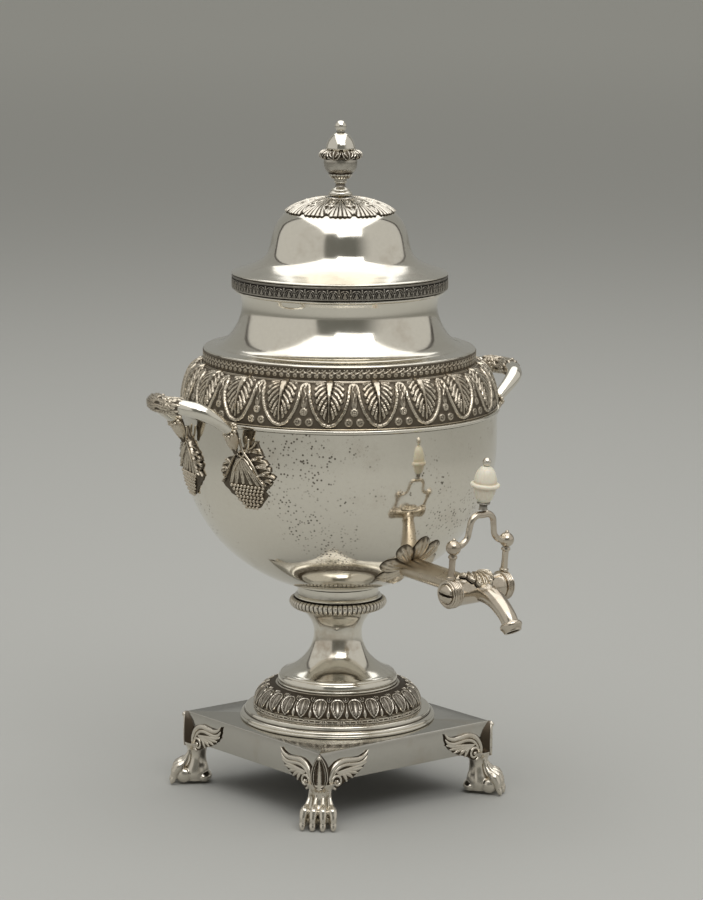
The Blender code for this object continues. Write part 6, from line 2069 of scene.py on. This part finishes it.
@dataclass
class TapKey(Assembly):
    """Two collars with their legs and screws, the bow, and the ivory knob."""

    y: float = -139.5
    z: float = 158.6
    tilt: float = 6.0
    post: float = 22.0
    ball_height: float = 30.0
    rise: float = 19.0

    def build(self) -> None:
        """Makes the key upright, then leans it forward."""
        lean = Matrix.Translation((0, self.y, self.z)) @ Matrix.Rotation(math.radians(self.tilt), 4, "X")
        for side, word in ((-1, "left"), (1, "right")):
            turn = lean @ Matrix.Rotation(side * math.pi / 2, 4, "Y")
            ring = run(
                smooth([(8.7, 19.3), (9.3, 19.7), (9.4, 20.2), (9.1, 20.6)], 3), [(8.8, 20.7)],
                smooth([(9.1, 20.8), (9.4, 21.3), (9.1, 21.8)], 3), [(8.8, 21.9)],
                smooth([(9.1, 22.0), (9.4, 22.5), (9.1, 23.0)], 3), [(8.8, 23.1)],
                smooth([(9.1, 23.2), (9.4, 23.7), (8.8, 24.3)], 3),
            )
            form = Form().turn(ring, 96, bore=4.4).placed(turn)
            levels = (6.7, 9.4, 9.8, 10.4, 10.9, 11.3, 17.0, 22.6, 23.2, 23.8, 24.4, 24.9)
            post = [(side * self.post, 0, z) for z in levels]
            radii = [2.3, 2.3, 2.9, 3.0, 2.9, 2.25, 2.0, 2.1, 2.8, 3.0, 2.8, 2.6]
            form.join(Form().tube(post, radii, 32, (0, 1, 0), round_ends=False).placed(lean))
            self.bench.dress(form, f"key_collar_{word}", [f"key_leg_{word}"], Body.KEY, "tap_silver")
            self.bench.dress(self.screw().placed(turn), f"slotted_screw_{word}", [f"key_screw_{word}"],
                             Body.KEY, "tap_silver")
        rows = [(1.0, 0.0), (0.86, 0.01), (0.70, 0.06), (0.52, 0.24), (0.455, 0.56), (0.395, 0.84),
                (0.215, 1.0), (0.0, 1.0)]
        half = [(-self.post * x, 0, self.ball_height + self.rise * z) for x, z in rows]
        path = smooth(half + [(-x, y, z) for x, y, z in half[-2::-1]], 10)
        wide = 2.1 + 0.2 * np.cos(np.linspace(0, 4 * math.pi, len(path)))
        form = Form().tube(path, wide, 28, (0, 1, 0))
        for side in (-1, 1):
            form.ball((side * self.post, 0, self.ball_height), 4.8, 36)
            form.ball((side * self.post, 0, self.ball_height + 4.9), 1.3, 14)
        self.bench.dress(form.placed(lean), "lever_bow", ["lever_yoke"], Body.KEY, "tap_silver")
        self.knob(lean)

    def screw(self) -> Form:
        """Washer and slotted domed screw, on the axis.

        Returns:
            The screw.
        """
        washer = [(8.3, 24.6), (8.4, 24.9), (8.2, 25.2), (7.0, 25.2), (6.5, 24.9)]
        rows = run([(1.7, 17.6), (1.7, 24.6)], washer)
        t = np.linspace(0.03, math.pi / 2, 22)[::-1]
        dome = np.column_stack([6.4 * np.sin(t), 25.2 + 2.6 * np.cos(t)])
        outline = np.vstack([rows, dome])
        angle = circle_angles(120)
        x, y = outline[:, :1] * np.cos(angle), outline[:, :1] * np.sin(angle)
        z = np.repeat(outline[:, 1:], 120, axis=1)
        slot = (np.abs(x) < 0.75) & (z > 25.3)
        z = np.where(slot, np.minimum(z, 25.9), z)
        seam = np.arange(len(outline))[:, None] == len(rows) - 1
        # Painted shade: the slot is made dark; the seam under the head's edge is made dark as a joint.
        depth = np.where(slot, 0.95, 0.0) + np.where(seam, 1.0, 0.0)
        return Form().net(np.stack([x, y, z], axis=2), np.clip(depth, 0, 1))

    def knob(self, lean: Matrix) -> None:
        """Makes the ivory acorn, the cup under it and the ball over it.

        Args:
            lean: the key's place at rest.
        """
        level = self.ball_height + self.rise * 1.02 + 2.9
        waist = smooth([(2.6, 1.2), (2.6, 3.0), (3.2, 3.8), (4.2, 4.2)], 4)
        cup = run([(3.0, 0.0), (2.7, 0.8)], waist, [(4.3, 4.6), (4.1, 5.0)])
        form = Form().turn(cup + (0, level), 48, bore=1.5)
        self.bench.dress(form.placed(lean), "knob_cup", ["knob_socket"], Body.KEY, "black_chased_silver",
                         "tarnished_silver")
        level += 5.3
        acorn = run(
            smooth([(3.8, 0.0), (4.6, 0.9), (5.6, 2.9), (6.5, 5.4), (7.2, 8.2), (7.5, 9.3)], 5),
            smooth([(8.2, 9.5), (9.1, 10.0), (9.4, 10.9), (9.0, 11.8), (8.0, 12.2)], 4),
            smooth([(7.3, 12.4), (7.3, 14.2), (6.6, 17.2), (5.5, 19.8), (4.0, 21.8), (3.0, 22.6)], 5),
            [(2.7, 22.8), (2.5, 23.0)],
        )
        form = Form().turn(acorn + (0, level), 96, bore=1.4)
        self.bench.dress(form.placed(lean), "ivory_acorn", ["ivory_knob"], Body.KEY, "old_ivory", "ivory")
        level += 23.3
        form = Form().ball((0, 0, level + 2.4), 2.8, 28)
        pin = [(0.02, -27.0), (1.2, -27.0), (1.2, 0.0), (1.9, 0.05), (1.9, 0.8), (0.02, 0.9)]
        form.turn(np.array([(radius, level + rise) for radius, rise in pin]), 32)
        self.bench.dress(form.placed(lean), "knob_bead", ["knob_ball"], Body.KEY)


@dataclass
class Studio(Assembly):
    """Paper floor, soft lamps, grey room and the camera at the photograph's angle."""

    reach: float = 30.0
    sides: int = 64
    lens: float = 141.25
    azimuth: float = 38.66
    eye: tuple[float, float, float] = (-1.42846, -1.78556, 0.62719)
    yaw: float = 0.20738586066780942
    pitch: float = 9.896173981964335
    roll: float = 0.36724848713812707

    def build(self) -> None:
        """Makes everything round the urn."""
        self.floor()
        self.lamps()
        self.camera()

    def floor(self) -> None:
        """Makes the round paper floor that reaches past every view."""
        rings = np.r_[0.15, 0.5, 1.5, 4.0, self.reach]
        sides = self.sides
        angle = circle_angles(sides)
        points = [(0.0, 0.0, 0.0)] + [(r * math.cos(a), r * math.sin(a), 0.0) for r in rings for a in angle]
        faces = [(0, 1 + k, 1 + (k + 1) % sides) for k in range(sides)]
        for ring in range(len(rings) - 1):
            low = 1 + sides * ring
            high = low + sides
            for k in range(sides):
                after = (k + 1) % sides
                faces.append((low + k, high + k, high + after, low + after))
        mesh = bpy.data.meshes.new("paper_floor")
        mesh.from_pydata(points, [], faces)
        mesh.materials.append(Paper("paper").material())
        floor = bpy.data.objects.new("paper_floor", mesh)
        floor.location = (0, self.bench.shift, 0)
        bpy.context.collection.objects.link(floor)

    def lamp(self, name: str, place: tuple[float, float, float], size: tuple[float, float], glow: float,
             aim: tuple[float, float, float] | None = None) -> None:
        """Sets up one softbox; its place is to the right, away and up as the camera sees the urn.

        Args:
            name: its name.
            place: its middle.
            size: its width and length.
            glow: its brightness, where 1 is white.
            aim: what it faces; without one it faces straight down.
        """
        light = bpy.data.lights.new(name, "AREA")
        light.shape, light.size, light.size_y = "RECTANGLE", *size
        light.energy = glow * math.pi * size[0] * size[1]
        turn = Matrix.Rotation(math.radians(-self.azimuth), 4, "Z")
        item = bpy.data.objects.new(name, light)
        item.location = turn @ Vector(place)
        way = Vector(place) - Vector(aim or (place[0], place[1], 0.0))
        item.rotation_euler = (turn @ way).to_track_quat("Z", "Y").to_euler() if aim else turn.to_euler()
        bpy.context.collection.objects.link(item)

    def lamps(self) -> None:
        """Sets up the softboxes and the room's light."""
        self.lamp("softbox_over", (0.0, 0.1, 1.9), (2.2, 4.0), 1.15)
        self.lamp("softbox_front", (0.5, -1.55, 1.75), (1.5, 0.7), 2.2, (0, 0, 0.25))
        bpy.context.scene.world = Room("room", self.azimuth).world()

    def camera(self) -> None:
        """Sets the camera where the photograph was taken from."""
        yaw, pitch, roll = (math.radians(a) for a in (self.yaw, self.pitch, self.roll))
        ahead = Vector((math.sin(yaw) * math.cos(pitch), math.cos(yaw) * math.cos(pitch), -math.sin(pitch)))
        right = Vector((math.cos(yaw), -math.sin(yaw), 0))
        up = right.cross(ahead)
        across = right * math.cos(roll) + up * math.sin(roll)
        over = up * math.cos(roll) - right * math.sin(roll)
        turn = Matrix.Rotation(math.radians(-self.azimuth), 3, "Z")
        axes = Matrix((turn @ across, turn @ over, turn @ -ahead)).transposed().to_4x4()
        data = bpy.data.cameras.new("camera")
        data.lens, data.sensor_width, data.clip_start, data.clip_end = self.lens, 36.0, 0.05, 60
        camera = bpy.data.objects.new("camera", data)
        camera.matrix_world = Matrix.Translation(Vector(self.eye) + Vector((0, self.bench.shift, 0))) @ axes
        bpy.context.collection.objects.link(camera)
        bpy.context.scene.camera = camera
        bpy.context.scene.view_settings.view_transform = "Standard"


def keep_rest(bench: Bench) -> None:
    """Gives every solid that still shows its finish.

    Args:
        bench: the bench with the finishes.
    """
    slots = {row["node"]: row["material_slot"] for row in frame["record"]["subparts"]}
    by_slot = {
        "silver": "polished_silver",
        "tarnished_silver": "chased_silver",
        "ivory": "old_ivory",
        "iron": "cast_iron",
        "brass": "turned_brass",
    }
    for node in sorted(frame["nodes"]):
        bench.repaint(node, by_slot[slots[node]])


def main() -> None:
    """Builds the sub-assemblies in order."""
    logging.basicConfig(level=logging.INFO, format="%(name)s %(message)s")
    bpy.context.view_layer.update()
    bench = Bench()
    keep_rest(bench)
    for assembly in (Feet, Plinth, Pedestal, Vessel, Handles, Lid, Tap, TapKey, Studio):
        assembly(bench).build()


if __name__ == "__main__":
    main()
